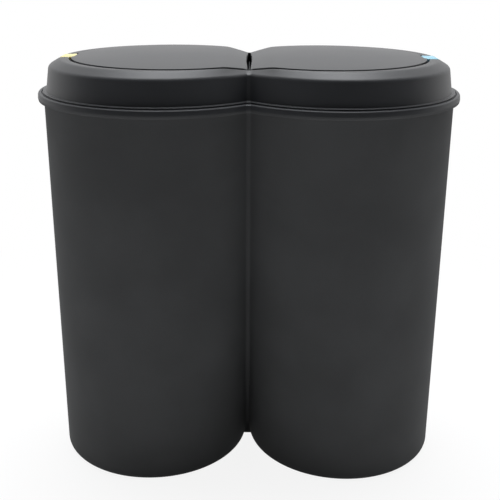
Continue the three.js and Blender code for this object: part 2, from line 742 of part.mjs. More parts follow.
// A torsion spring round the pin: one leg lies against the middle rib, the other under the flap.
function hingeSpring(name) {
  const half = 9;
  const steps = 7 * stepsPerTurn + 1;
  const points = [
    new THREE.Vector3(3 - hingeReach, -half - 2, -coilHinge),
    new THREE.Vector3(-1.5, -half - 1, -coilHinge),
  ];
  for (let i = 0; i <= steps; i += 1) {
    const angle = (i / stepsPerTurn - 0.25) * 2 * Math.PI;
    const y = mix(-half, half, i / steps);
    points.push(new THREE.Vector3(coilHinge * Math.cos(angle), y, coilHinge * Math.sin(angle)));
  }
  // The last leg is as steep as the underside of the flap allows at every place along it.
  const legEnd = kinkReach + 12;
  const coilEnd = points.at(-1);
  const reach = legEnd - hingeReach - coilEnd.x;
  const checks = Array.from({ length: 12 }, (_, i) => (reach * (i + 1)) / 12);
  const rises = checks.map((out) => {
    const under = topHeight(hingeReach + coilEnd.x + out, half) - flapThickness - legGap - wireHinge;
    return ((under - hingeRise - coilEnd.z) * reach) / out;
  });
  points.push(new THREE.Vector3(legEnd - hingeReach, half + 2, coilEnd.z + Math.min(...rises)));
  return wireTube(name, points, wireHinge);
}

// A compression spring, standing on the tray under the button.
function buttonSpring(name) {
  const turns = 6;
  const steps = turns * stepsPerTurn;
  const low = wireButton / 2;
  const high = springHead - springFoot - wireButton / 2;
  const points = [];
  for (let i = 0; i <= steps; i += 1) {
    const angle = (i / stepsPerTurn) * 2 * Math.PI;
    const z = mix(low, high, i / steps);
    points.push(new THREE.Vector3(coilButton * Math.cos(angle), coilButton * Math.sin(angle), z));
  }
  return wireTube(name, points, wireButton);
}

// ---- The assembly ----
const bin = new THREE.Group();
const lid = new THREE.Group();
lid.position.z = bodyHeight + seatGap;
bin.add(lid);

function place(parent, name, geometry, finish, position = [0, 0, 0]) {
  const mesh = new THREE.Mesh(geometry, new THREE.MeshStandardMaterial(finishes[finish]));
  mesh.name = name;
  mesh.position.set(...position);
  parent.add(mesh);
  return mesh;
}

place(bin, 'twin_body', tub(), 'body');
place(lid, 'lid_frame', lidFrame(), 'lid');

const flapSolid = flap();
const buttonSolid = button();
const latchSolid = latch();
const traySolid = tray();
for (const [name, side] of [['left', -1], ['right', 1]]) {
  const sided = (manifold) => geometryOf(side > 0 ? manifold : mirroredX(manifold));
  place(lid, `${name}_flap`, sided(flapSolid), 'lid');
  place(lid, `${name}_button`, sided(buttonSolid), side > 0 ? 'blue' : 'yellow');
  place(lid, `${name}_latch`, sided(latchSolid), 'latch');
  place(lid, `${name}_latch_tray`, sided(traySolid), 'lid');
  const pin = new THREE.CylinderGeometry(pinRadius, pinRadius, 2 * pinHalf, 16);
  place(lid, `${name}_hinge_pin`, pin, 'steel', [side * hingeReach, 0, hingeRise]);
  const turned = side > 0 ? 0 : Math.PI;
  const torsion = place(lid, `${name}_hinge_spring`, hingeSpring(`${name}_hinge_spring`), 'steel');
  torsion.position.set(side * hingeReach, 0, hingeRise);
  if (turned) torsion.geometry = geometryOf(mirroredX(solid(torsion.geometry)));
  const coil = place(lid, `${name}_button_spring`, buttonSpring(`${name}_button_spring`), 'steel');
  coil.position.set(side * springReach, 0, springFoot);
  for (const [end, y] of [['front', -screwAt], ['rear', screwAt]]) {
    const seat = [side * screwReach, y, trayRise - screwHeadHeight - 0.3];
    place(lid, `${name}_tray_screw_${end}`, screw(), 'steel', seat);
  }
}

export default bin;
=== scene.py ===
# %% [markdown]
# # A double recycling bin
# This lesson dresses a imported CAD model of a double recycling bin: an anthracite tub with two tapered
# compartments, and a lid with two domed flaps, a yellow button and a light blue one. The CAD model already
# has every part in its place and says how each one moves. Its faces are coarse, so each shape is worked out
# again here as a fine surface, and each finish is made from shader nodes.

import bpy
import numpy as np
from mathutils import Matrix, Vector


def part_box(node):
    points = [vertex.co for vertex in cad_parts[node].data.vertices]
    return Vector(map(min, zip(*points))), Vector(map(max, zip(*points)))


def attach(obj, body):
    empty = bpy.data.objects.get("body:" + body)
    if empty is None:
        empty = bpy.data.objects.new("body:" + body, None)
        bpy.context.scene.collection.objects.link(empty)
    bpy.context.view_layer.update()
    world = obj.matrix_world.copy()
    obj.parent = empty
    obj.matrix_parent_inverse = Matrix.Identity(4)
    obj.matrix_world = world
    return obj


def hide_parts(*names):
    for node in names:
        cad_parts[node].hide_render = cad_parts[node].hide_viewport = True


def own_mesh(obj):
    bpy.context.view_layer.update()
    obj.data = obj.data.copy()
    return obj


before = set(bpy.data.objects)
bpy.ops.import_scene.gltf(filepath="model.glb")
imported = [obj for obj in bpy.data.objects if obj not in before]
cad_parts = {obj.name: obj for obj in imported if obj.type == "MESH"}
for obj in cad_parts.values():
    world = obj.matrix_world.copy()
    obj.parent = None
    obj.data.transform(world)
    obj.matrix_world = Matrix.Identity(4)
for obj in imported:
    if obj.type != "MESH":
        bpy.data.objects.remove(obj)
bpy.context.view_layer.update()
MM = 0.001

# %% [markdown]
# ## The camera
# A catalogue photograph of a bin is taken from a little above the lid. The camera stands about a metre in
# front and looks down by 16 degrees. Its lens is shifted a little, as on a view camera, because the picture's
# middle lies below the point that the camera looks at.

# %% Camera
CAMERA_PLACE = (4.0, -1072.0, 666.0)
LOOK_DOWN = 0.2811
LOOK_SIDE = -0.0020
ROLL = 0.0053
SENSOR = 36.0
PICTURE = 500.0
FOCAL_PIXELS = 842.9
SHIFT_PIXELS = 60.0
CLIP_END = 100.0


def add_object(name, data):
    obj = bpy.data.objects.new(name, data)
    bpy.context.scene.collection.objects.link(obj)
    return obj


camera_data = bpy.data.cameras.new("camera")
camera_data.sensor_width = SENSOR
camera_data.lens = FOCAL_PIXELS / PICTURE * SENSOR
camera_data.shift_y = -SHIFT_PIXELS / PICTURE
camera_data.clip_end = CLIP_END
camera = add_object("camera", camera_data)
turn = Matrix.Rotation(-LOOK_SIDE, 4, "Z") @ Matrix.Rotation(np.pi / 2 - LOOK_DOWN, 4, "X")
turn = turn @ Matrix.Rotation(ROLL, 4, "Z")
camera.matrix_world = Matrix.Translation([c * MM for c in CAMERA_PLACE]) @ turn
bpy.context.scene.camera = camera
print("lens", round(camera_data.lens, 2), "mm")

# %% [markdown]
# ## Writing shaders as expressions
# A finish is a small calculation: some noise here, a little more roughness there. A class that wraps a node's
# output and overloads Python's operators lets such a calculation be written as it would be on paper.

# %% Shader expressions
class Signal:
    """One output of a shader node. Python's arithmetic on it adds Math nodes to the same tree."""

    def __init__(self, nodes, socket):
        self.nodes = nodes
        self.socket = socket

    def math(self, operation, first, second):
        return self.nodes.add("ShaderNodeMath", {"operation": operation}, {0: first, 1: second})

    def at_least(self, other):
        return self.math("MAXIMUM", self, other)


for sign, operation in (("add", "ADD"), ("sub", "SUBTRACT"), ("mul", "MULTIPLY")):
    setattr(Signal, f"__{sign}__", lambda self, other, o=operation: self.math(o, self, other))
    setattr(Signal, f"__r{sign}__", lambda self, other, o=operation: self.math(o, other, self))


class Nodes:
    """A node tree that is built up one node at a time."""

    def __init__(self, tree):
        self.tree = tree
        tree.nodes.clear()

    def add(self, kind, settings, inputs, output=0):
        """A node with its settings made first, then the values or links of its sockets."""
        node = self.tree.nodes.new(kind)
        for name, value in settings.items():
            setattr(node, name, value)
        for name, value in inputs.items():
            if isinstance(value, Signal):
                self.tree.links.new(value.socket, node.inputs[name])
            else:
                node.inputs[name].default_value = value
        return Signal(self, node.outputs[output]) if node.outputs else None

    def step(self, value, low, high):
        """0 below low, 1 above high, and a smooth rise between."""
        return self.add("ShaderNodeMapRange", {"interpolation_type": "SMOOTHSTEP"},
                        {"Value": value, "From Min": low, "From Max": high})

    def colours(self, share, first, second):
        return self.add("ShaderNodeMix", {"data_type": "RGBA"}, {0: share, 6: first, 7: second}, 2)

    def mix_shaders(self, share, first, second):
        return self.add("ShaderNodeMixShader", {}, {0: share, 1: first, 2: second})

    def place(self, kind="Object"):
        return self.add("ShaderNodeTexCoord", {}, {}, kind)

    def surface(self, shader):
        self.add("ShaderNodeOutputMaterial", {}, {"Surface": shader})

    def part(self, vector, axis):
        return self.add("ShaderNodeSeparateXYZ", {}, {0: vector}, axis)

    def ray(self, kind):
        return self.add("ShaderNodeLightPath", {}, {}, f"Is {kind} Ray")

    def noise(self, place, scale, detail):
        inputs = {"Vector": place, "Scale": scale, "Detail": detail}
        return self.add("ShaderNodeTexNoise", {}, inputs, "Fac")

    def bump(self, height):
        """A normal that follows a height in mm."""
        return self.add("ShaderNodeBump", {}, {"Height": height, "Strength": 1.0, "Distance": MM})


def new_material(name):
    """A material and its empty node tree."""
    material = bpy.data.materials.new(name)
    material.use_nodes = True
    return material, Nodes(material.node_tree)


# %% [markdown]
# ## Light and floor
# The bin was photographed in a white studio: a white sweep behind it, a large soft light overhead, and
# nothing bright behind the camera. Its top is pale because it mirrors the sweep at a flat angle, and its
# front is dark. So the world is white behind and dim in front. A sun with a wide disc stands for the
# overhead light, and it leans back a little. The white paper ends in front of the bin, because the lid's
# skirt would mirror it there.

# %% World
FRONT_LEVEL = 0.05
BACK_LEVEL = 1.12
HORIZON = (-0.1, 0.3)
world = bpy.data.worlds.new("studio")
bpy.context.scene.world = world
world.use_nodes = True
nodes = Nodes(world.node_tree)
behind = nodes.step(nodes.part(nodes.place("Generated"), "Y"), *HORIZON)
level = FRONT_LEVEL + (BACK_LEVEL - FRONT_LEVEL) * behind
level = level.at_least(nodes.ray("Camera")).at_least(nodes.ray("Transmission"))
light = nodes.add("ShaderNodeBackground", {}, {"Color": (1, 1, 1, 1), "Strength": level})
nodes.add("ShaderNodeOutputWorld", {}, {"Surface": light})
bpy.context.scene.view_settings.view_transform = "Standard"

# %% Overhead light
SUN_STRENGTH = 3.1
SUN_WIDTH = np.radians(42)
SUN_LEAN = np.radians(12)
SUN_COLOUR = (0.95, 0.97, 1.0)
sun_data = bpy.data.lights.new("overhead", "SUN")
sun_data.energy = SUN_STRENGTH
sun_data.angle = SUN_WIDTH
sun_data.color = SUN_COLOUR
sun = add_object("overhead", sun_data)
sun.rotation_euler.x = -SUN_LEAN

# %% Floor
FLOOR_HALF = 14.0
PAPER_EDGE = (-1.9, -1.1)
PAPER_COLOUR = (0.84, 0.84, 0.84, 1)
DARK_COLOUR = (0.05, 0.05, 0.05, 1)
NEAR_WHITE = 0.88
WHITE_RISE = (0.3, 0.9)
floor_mesh = bpy.data.meshes.new("floor")
floor_corners = np.array([(-1, -1, 0), (1, -1, 0), (1, 1, 0), (-1, 1, 0)]) * FLOOR_HALF
floor_mesh.from_pydata(floor_corners.tolist(), [], [(0, 1, 2, 3)])
floor = add_object("floor", floor_mesh)

# Seen directly, the floor is nearly white near the bin, so its shadow shows, and white beyond.
paper, nodes = new_material("white_paper")
place = nodes.place()
away = nodes.add("ShaderNodeVectorMath", {"operation": "LENGTH"}, {0: place}, "Value")
on_paper = nodes.step(nodes.part(place, "Y"), *PAPER_EDGE)
mirrors = nodes.ray("Glossy").at_least(nodes.ray("Transmission"))
seen = nodes.ray("Camera").at_least(mirrors * on_paper)
matt = nodes.add("ShaderNodeBsdfDiffuse", {}, {"Color": nodes.colours(on_paper, DARK_COLOUR, PAPER_COLOUR)})
glow = nodes.add("ShaderNodeEmission", {}, {"Color": (1, 1, 1, 1), "Strength": 1.0})
whiten = seen * (NEAR_WHITE + (1 - NEAR_WHITE) * nodes.step(away, *WHITE_RISE))
nodes.surface(nodes.mix_shaders(whiten, matt, glow))
floor_mesh.materials.append(paper)

# %% [markdown]
# ## Moulded plastic
# The tub and lid are polypropylene with a fine matt texture from the mould. Three things make it look like
# that: a grain far finer than a millimetre, a very slight waviness over centimetres where the plastic shrank,
# and edges that have been rubbed a little paler and smoother.

# %% Plastic
LID_COLOUR = (0.030, 0.0315, 0.035)
LID_ROUGHNESS = 0.47
RIM_START = 0.487
SMOOTH_BLEND = 0.005
PATCHES = (0.3, 0.7)
SHADES = (0.86, 1.14, 1.9)
WAVE_DEPTH = 0.12


def plastic(name, colour, roughness, grain, wear, specular, smooth_above=None):
    """A moulded plastic, with the depth of its grain in mm and the share of wear on its edges.

    Above a height in metres, if one is given, it is as smooth and dark as the lid.
    """
    material, nodes = new_material(name)
    place = nodes.place()
    cloud = nodes.noise(place, 11.0, 3.0)
    speck = nodes.noise(place, 900.0, 2.0)
    texture = nodes.noise(place, 2300.0, 2.0)
    edge = nodes.add("ShaderNodeAttribute", {"attribute_name": "worn"}, {}, "Fac")
    rubbed = edge * nodes.step(nodes.noise(place, 130.0, 4.0), 0.3, 0.75) * wear
    dark, pale, bare = [(*[min(c * k, 1.0) for c in colour], 1.0) for k in SHADES]
    body = nodes.colours(nodes.step(0.7 * cloud + 0.3 * speck, *PATCHES), dark, pale)
    body = nodes.colours(rubbed, body, bare)
    rough = roughness + 0.10 * (cloud - 0.5) + 0.08 * (speck - 0.5) - 0.12 * rubbed
    if smooth_above:
        smooth = nodes.step(nodes.part(place, "Z"), smooth_above - SMOOTH_BLEND, smooth_above)
        body = nodes.colours(smooth, body, (*LID_COLOUR, 1.0))
        rough = rough - (roughness - LID_ROUGHNESS) * smooth
    bump = nodes.bump(grain * texture + WAVE_DEPTH * nodes.noise(place, 16.0, 1.0))
    shader = nodes.add("ShaderNodeBsdfPrincipled", {}, {
        "Base Color": body, "Roughness": rough, "Specular IOR Level": specular, "Normal": bump})
    nodes.surface(shader)
    return material


FINISHES = {
    "body": plastic("matt_anthracite", (0.059, 0.060, 0.061), 0.88, 0.022, 0.15, 0.32, RIM_START),
    "lid": plastic("fine_anthracite", LID_COLOUR, LID_ROUGHNESS, 0.012, 0.3, 0.5),
    "yellow_button": plastic("satin_yellow", (0.86, 0.76, 0.31), 0.38, 0.004, 0.3, 0.5),
    "blue_button": plastic("satin_blue", (0.25, 0.53, 0.68), 0.38, 0.004, 0.3, 0.5),
    "latch": plastic("black_acetal", (0.014, 0.014, 0.016), 0.45, 0.006, 0.3, 0.5),
}

# %% [markdown]
# ## Drawn steel
# Pins, springs and screws are drawn or rolled steel with a thin zinc coat: a metal whose roughness varies in
# small patches, with faint dull spots.

# %% Steel
STEEL_COLOURS = (0.40, 0.42, 0.45, 1), (0.56, 0.58, 0.61, 1)
steel, nodes = new_material("zinc_steel")
place = nodes.place()
patches = nodes.noise(place, 260.0, 4.0)
grains = nodes.noise(place, 3000.0, 1.0)
metal = nodes.add("ShaderNodeBsdfPrincipled", {}, {
    "Base Color": nodes.colours(nodes.step(patches, *PATCHES), *STEEL_COLOURS),
    "Roughness": 0.26 + 0.18 * patches + 0.06 * grains,
    "Metallic": 1.0,
    "Normal": nodes.bump(0.004 * grains),
})
nodes.surface(metal)
FINISHES["steel"] = steel
print("finishes:", ", ".join(FINISHES))

# %% [markdown]
# ## Surfaces from numpy
# Nearly every part of the bin is a moulded shell, so its surface can be carried round in rings: a grid of
# points, closed round each ring, and closed at its ends by a flat cap or by joining the last ring to the
# first. One helper lists such a grid's faces, and another makes the object.

# %% Grids to meshes
CREASE = np.radians(35)


def grid_faces(rings, points, looped):
    """Quads between neighbouring rings and neighbouring points, each ring closed on itself.

    The rings join up again when looped, and otherwise get one flat face over each end.
    """
    bands = np.arange(rings if looped else rings - 1)[:, None]
    around = np.arange(points)
    low = bands * points
    high = (bands + 1) % rings * points
    after = (around + 1) % points
    quads = np.stack([low + around, low + after, high + after, high + around], axis=-1)
    faces = quads.reshape(-1, 4).tolist()
    if not looped:
        faces += [around[::-1].tolist(), (around + (rings - 1) * points).tolist()]
    return faces


def make_mesh(name, grid, looped=False):
    """One object from a grid in mm: an array of rings by points by 3."""
    mesh = bpy.data.meshes.new(name)
    faces = grid_faces(grid.shape[0], grid.shape[1], looped)
    mesh.from_pydata((grid.reshape(-1, 3) * MM).tolist(), [], faces)
    mesh.validate()
    return add_object(name, mesh)


def settle(obj):
    """Turns an object's modifiers into its mesh."""
    bpy.context.view_layer.update()
    evaluated = obj.evaluated_get(bpy.context.evaluated_depsgraph_get())
    mesh = bpy.data.meshes.new_from_object(evaluated)
    obj.modifiers.clear()
    obj.data = mesh
    mesh.name = obj.name
    return obj


def combine(obj, others, operation):
    """Joins closed shapes to a closed shape, or cuts them out of it, which leaves it closed."""
    for other in others:
        modifier = obj.modifiers.new("combine", "BOOLEAN")
        modifier.operation = operation
        modifier.solver = "MANIFOLD"
        modifier.object = other
    settle(obj)
    for other in others:
        bpy.data.objects.remove(other)
    return obj


def carve(obj, cutters):
    return combine(obj, cutters, "DIFFERENCE")


def unite(obj, others):
    return combine(obj, others, "UNION")


def read(items, name, width, kind=float):
    """One property of all of a mesh's items as an array."""
    values = np.empty(len(items) * width, kind)
    items.foreach_get(name, values)
    return values.reshape(-1, width) if width > 1 else values


WORN_BEND = 0.35
NEAR = 0.2


def mark_edges(mesh):
    """Stores how strongly the surface bends outwards at each vertex, as the attribute worn, from 0 to 1.

    An edge's bend is the angle between its faces' normals over the distance between their middles in mm. It
    counts where the faces fall away from each other, and a vertex takes the largest bend of its edges.
    """
    sizes = read(mesh.polygons, "loop_total", 1, int)
    normals = read(mesh.polygons, "normal", 3)
    middles = read(mesh.polygons, "center", 3)
    loop_faces = np.repeat(np.arange(len(sizes)), sizes)
    loop_edges = read(mesh.loops, "edge_index", 1, int)
    order = np.argsort(loop_edges, kind="stable")
    first, second = order[:-1], order[1:]
    paired = loop_edges[first] == loop_edges[second]
    one, other = loop_faces[first[paired]], loop_faces[second[paired]]
    edges = loop_edges[first[paired]]
    angle = np.arccos(np.clip(np.sum(normals[one] * normals[other], axis=1), -1, 1))
    between = middles[other] - middles[one]
    away = np.sum(between * normals[one], axis=1) < 0
    distance = np.linalg.norm(between, axis=1) / MM + NEAR
    bend = np.where(away, np.minimum(angle / distance / WORN_BEND, 1), 0)
    worn = np.zeros(len(mesh.vertices))
    ends = read(mesh.edges, "vertices", 2, int)[edges]
    np.maximum.at(worn, ends[:, 0], bend)
    np.maximum.at(worn, ends[:, 1], bend)
    mesh.attributes.new("worn", "FLOAT", "POINT").data.foreach_set("value", worn)


def fit(obj, body, slot, *nodes):
    """Hands a finished piece to the body that it moves with, and hides the CAD parts that it stands for.

    Shading is smooth, but an edge stays sharp where its faces meet at more than the crease angle.
    """
    obj.data.shade_smooth()
    obj.data.set_sharp_from_angle(angle=CREASE)
    mark_edges(obj.data)
    obj.data.materials.clear()
    obj.data.materials.append(FINISHES[slot])
    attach(obj, body)
    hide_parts(*nodes)
    print(obj.name, "has", len(obj.data.polygons), "faces")


def ease_edges(obj, width):
    """Rounds the sharp edges, as every moulded part has them."""
    modifier = obj.modifiers.new("edges", "BEVEL")
    modifier.width = width * MM
    modifier.segments = 2
    modifier.limit_method = "ANGLE"
    modifier.angle_limit = CREASE
    modifier.harden_normals = True
    return settle(obj)


# %% [markdown]
# ## Profiles with rounded corners
# A moulded edge is never sharp. A profile is drawn as a few corners, each with its own radius, and each
# corner is then replaced by a short arc.

# %% Rounded profiles
ARC_STEPS = 5


def rounded(corners, closed=False, steps=ARC_STEPS):
    """A path through (across, up, radius) corners, with an arc in place of each corner.

    The arc touches both legs of the corner, and its centre lies on the line that halves the corner.
    """
    data = np.array(corners, float)
    spots, radii = data[:, :2], data[:, 2]
    path = []
    for i in range(len(spots)):
        if radii[i] == 0 or (not closed and i in (0, len(spots) - 1)):
            path.append(spots[i][None])
            continue
        back = spots[i - 1] - spots[i]
        ahead = spots[(i + 1) % len(spots)] - spots[i]
        back_length, ahead_length = np.linalg.norm(back), np.linalg.norm(ahead)
        back, ahead = back / back_length, ahead / ahead_length
        half = np.arccos(np.clip(back @ ahead, -1, 1)) / 2
        cut = min(radii[i] / np.tan(half), 0.49 * back_length, 0.49 * ahead_length)
        radius = cut * np.tan(half)
        middle = (back + ahead) / np.linalg.norm(back + ahead)
        centre = spots[i] + middle * radius / np.sin(half)
        first = spots[i] + back * cut - centre
        last = spots[i] + ahead * cut - centre
        sweep = np.linspace(0, 1, steps + 1)[:, None]
        blend = np.sin((1 - sweep) * (np.pi - 2 * half)) * first + np.sin(sweep * (np.pi - 2 * half)) * last
        path.append(centre + blend / np.sin(np.pi - 2 * half))
    return np.concatenate(path)


# %% [markdown]
# ## The twin outline
# Seen from above, the tub and the lid are two equal circles side by side, joined by a narrow web. Each ring
# of the tub is such an outline: a short flat web, a small hollow fillet, the big arc round one compartment,
# and the same again on the other side. Circles that lean apart towards the floor leave a gap between the
# two feet, and only the web fills it.

# %% Twin outline
WEB_HALF = 2.5
WEB_REACH = 12.0
WEB_FILLET = 3.0
WEB_SHARPNESS = 8
FLAT_POINTS = 3
FILLET_POINTS = 7
ARC_POINTS = 150


def web_front(radius, spacing):
    """How far the web reaches: to where each circle meets it, but never less than the web's own depth."""
    meet = np.sqrt(np.maximum(radius**2 - (spacing - WEB_HALF) ** 2, 0))
    return (meet**WEB_SHARPNESS + WEB_REACH**WEB_SHARPNESS) ** (1 / WEB_SHARPNESS)


def twin_rings(radius, spacing, up):
    """Rings of the twin outline for arrays of radius, circle spacing and height."""
    radius, spacing, up = (np.asarray(a, float)[:, None] for a in np.broadcast_arrays(radius, spacing, up))
    front = web_front(radius, spacing)
    centre = front + WEB_FILLET
    foot = spacing - np.sqrt((radius + WEB_FILLET) ** 2 - centre**2)
    lean = np.arctan2(centre, spacing - foot)
    flat = foot * np.linspace(0, 1, FLAT_POINTS, endpoint=False)
    bend = np.pi / 2 + (lean - np.pi / 2) * np.linspace(0, 1, FILLET_POINTS, endpoint=False)
    sweep = (np.pi - lean) * np.linspace(-1, 1, ARC_POINTS)
    bend_x, bend_y = foot + WEB_FILLET * np.cos(bend), centre - WEB_FILLET * np.sin(bend)
    x = [flat, bend_x, spacing + radius * np.cos(sweep), bend_x[:, ::-1], flat[:, ::-1]]
    y = [-front + 0 * flat, -bend_y, radius * np.sin(sweep), bend_y[:, ::-1], front + 0 * flat]
    x, y = np.concatenate(x, axis=1), np.concatenate(y, axis=1)
    # Each half leaves its last point, on the middle line, to the other half.
    x, y = x[:, :-1], y[:, :-1]
    x, y = np.concatenate([x, -x], axis=1), np.concatenate([y, -y], axis=1)
    return np.stack([x, y, np.broadcast_to(up, x.shape)], axis=-1)


# %% [markdown]
# ## The tub
# The tub is one moulding. Its wall leans outwards, and its rim is rolled: it steps out, turns down as a short
# lip, and carries a shallow groove on top, outside the seat of the lid. The outside is a stack of twin
# outlines. The two compartments are carved out of it, so a thin wall is left between them, and so are the
# hollows under the floor that leave a foot ring.

# %% Tub sizes
TUB_HEIGHT = 491.7
BASE_RADIUS, BASE_SPACING = 125.1, 128.5
TOP_RADIUS, TOP_SPACING = 150.8, 108.0
WALL = 2.4
PARTITION = 2.4
PARTITION_TOP = TUB_HEIGHT - 11.0
FLOOR_TOP = 7.0
FOOT_DEPTH = 4.0
FOOT_RADIUS = BASE_RADIUS - 15.0
BASE_FILLET = 10.0
WALL_START = 14.0
WALL_END = TUB_HEIGHT - 5.0
RIM_DROP = 9.8
RIM_FOOT = TUB_HEIGHT - RIM_DROP
GROOVE = 1.3
FLOOR_FILLET = 6.0
FLOOR_RUN = 18.0
CARVE_SPARE = 0.2
CORNER_POWER = 70


def tub_radius(up):
    return BASE_RADIUS + (TOP_RADIUS - BASE_RADIUS) * up / TUB_HEIGHT


def tub_spacing(up):
    return BASE_SPACING + (TOP_SPACING - BASE_SPACING) * up / TUB_HEIGHT


# %% Tub outside and rim
foot = rounded([(-WALL_START, 0, 0), (0, 0, BASE_FILLET), (0, WALL_START, 0)], steps=9)
foot_rings = twin_rings(tub_radius(foot[:, 1]) + foot[:, 0], tub_spacing(foot[:, 1]), foot[:, 1])
wall_up = WALL_START + (WALL_END - WALL_START) * np.linspace(0, 1, 44)[1:] ** 1.3
wall_rings = twin_rings(tub_radius(wall_up), tub_spacing(wall_up), wall_up)
rim = rounded([
    (0.0, WALL_END - RIM_FOOT, 0),
    (0.0, 7.0, 1.2),
    (5.2, 7.0, 0.8),
    (5.2, 0.1, 0.6),
    (6.6, 0.1, 0.8),
    (7.25, 3.4, 2.6),
    (6.7, RIM_DROP, 2.2),
    (2.6, RIM_DROP, 0.5),
    (2.2, RIM_DROP - GROOVE, 0.3),
    (1.5, RIM_DROP - GROOVE, 0.3),
    (1.2, RIM_DROP, 0.4),
    (-WALL, RIM_DROP, 0.9),
    (-WALL - 0.5, RIM_DROP - 11.0, 0),
])
rim_rings = twin_rings(TOP_RADIUS + rim[1:, 0], TOP_SPACING, RIM_FOOT + rim[1:, 1])
tub = make_mesh("tub", np.concatenate([foot_rings, wall_rings, rim_rings]))
print("tub outside:", len(tub.data.polygons), "faces")

# %% Compartments and foot hollows
TURN_POINTS = 240


def compartment(side):
    """The hollow of one side, in polar form about the circle's centre.

    Its reach is the lesser of the radius and the distance to the partition, rounded by a high power mean.
    """
    floor_end = FLOOR_TOP + FLOOR_RUN
    floor = rounded([(20, FLOOR_TOP, 0), (0, FLOOR_TOP, FLOOR_FILLET), (0, floor_end, 0)], steps=9)
    up = np.concatenate([floor[:, 1], np.linspace(floor_end, PARTITION_TOP + 4, 30)[1:]])
    inset = np.concatenate([floor[:, 0], np.zeros(29)])
    radius = (tub_radius(up) - WALL - CARVE_SPARE - inset)[:, None]
    spacing = tub_spacing(up)[:, None]
    angle = np.linspace(0, 2 * np.pi, TURN_POINTS, endpoint=False)[None, :]
    inwards = np.maximum(-np.cos(angle), 1e-3)
    to_partition = (spacing - PARTITION / 2) / inwards
    reach = (radius**-CORNER_POWER + to_partition**-CORNER_POWER) ** (-1 / CORNER_POWER)
    x = spacing + reach * np.cos(angle)
    y = reach * np.sin(angle)
    grid = np.stack([x, y, np.broadcast_to(up[:, None], x.shape)], axis=-1)
    if side < 0:
        grid = grid[:, ::-1] * [-1, 1, 1]
    return make_mesh("compartment", grid)


def lathe(profile, centre, name="lathe", points=TURN_POINTS):
    """A profile of (radius, height) carried once round an upright axis."""
    angle = np.linspace(0, 2 * np.pi, points, endpoint=False)
    x = centre[0] + profile[:, :1] * np.cos(angle)
    y = centre[1] + profile[:, :1] * np.sin(angle)
    return make_mesh(name, np.stack([x, y, profile[:, 1:] + 0 * x], axis=-1))


hollow = rounded([(FOOT_RADIUS, -2, 0), (FOOT_RADIUS, FOOT_DEPTH, 1.5), (60, FOOT_DEPTH, 0)])
cutters = [compartment(side) for side in (-1, 1)]
cutters += [lathe(hollow, (side * BASE_SPACING, 0)) for side in (-1, 1)]
carve(tub, cutters)
fit(tub, "bin", "body", "twin_body")

# %% [markdown]
# ## Closed paths
# The openings of the lid aren't circles: each runs straight in towards the hinge line. Such an outline is
# drawn with its corners, resampled evenly, and softened a little, because a mould is cut with a round tool.

# %% Closed path helpers
DENSE = 4096


def shares(path):
    """The share of a closed path's length that lies before each of its points."""
    steps = np.linalg.norm(np.roll(path, -1, axis=0) - path, axis=1)
    return np.concatenate([[0], np.cumsum(steps)[:-1]]) / steps.sum()


def look_up(path, wanted):
    """The points of a closed path at the wanted shares of its length."""
    have = np.append(shares(path), 1.0)
    closed = np.concatenate([path, path[:1]])
    return np.stack([np.interp(wanted, have, column) for column in closed.T], axis=-1)


def soften(path, width):
    """A closed path, evenly resampled, with its corners rounded by a bell-shaped average along the path.

    For a closed path that is a product: each frequency f is multiplied by exp(-2 (pi f width)^2).
    """
    even = look_up(path, np.arange(DENSE) / DENSE)
    spacing = np.linalg.norm(even[1] - even[0])
    frequency = np.fft.rfftfreq(DENSE, spacing)
    weight = np.exp(-2 * (np.pi * frequency * width) ** 2)[:, None]
    return np.fft.irfft(np.fft.rfft(even, axis=0) * weight, n=DENSE, axis=0)


def sideways(path):
    """Outward unit vectors of a flat closed path that runs counterclockwise."""
    ahead = np.roll(path, -1, axis=0) - np.roll(path, 1, axis=0)
    ahead = ahead / np.linalg.norm(ahead, axis=1, keepdims=True)
    return np.stack([ahead[:, 1], -ahead[:, 0]], axis=-1)


def arc(centre, radius, angle):
    return np.stack([centre[0] + radius * np.cos(angle), centre[1] + radius * np.sin(angle)], axis=-1)


def circle(centre, radius, points=32):
    return arc(centre, radius, np.linspace(0, 2 * np.pi, points, endpoint=False))


# %% [markdown]
# ## The heights of the lid
# The edge of each opening is level, and dips towards the hinge line. Over a flap a shallow dome is added, and
# at the bin's ends the top slopes down to the lid's edge. Moulded tops have no creases, so dip and slope
# start softly: the larger of t and 0 becomes half of t plus the root of t squared plus a small square.

# %% Lid heights
SEAT = TUB_HEIGHT + 0.3
MOUTH_RADIUS = 126.8
MOUTH_SPACING = 98.8
WAIST_HALF = 86.0
KINK_REACH = 29.0
KINK_ANGLE = np.arccos((KINK_REACH - MOUTH_SPACING) / MOUTH_RADIUS)
MOUTH_RISE = 40.4
WAIST_RISE = 35.4
FLAP_PROUD = 0.5
DOME_RISE = 6.0
CORNER_RADIUS = 143.3
CORNER_RISE = 31.7
SLOPE_WIDTH = 14.6
SHOULDER_EASE = 0.10
DIP_EASE = 0.12
DIP_WIDTH = 2.0


def eased_ramp(value, ease):
    """Nearly the larger of the value and 0, but bending softly where they meet."""
    return 0.5 * (value + np.sqrt(value**2 + ease**2))


def opening_height(x):
    """Height of an opening's edge above the seat: level, then dipping to the hinge line."""
    dip = 1 - (np.hypot(x, DIP_WIDTH) - WEB_HALF) / (KINK_REACH - WEB_HALF)
    return MOUTH_RISE - (MOUTH_RISE - WAIST_RISE) * eased_ramp(dip, DIP_EASE)


def flap_height(x, y):
    """The opening's height plus a dome, which falls off with the square of the distance from its centre."""
    out = np.hypot(np.abs(x) - MOUTH_SPACING, y) / MOUTH_RADIUS
    return opening_height(x) + FLAP_PROUD + DOME_RISE * (1 - out**2)


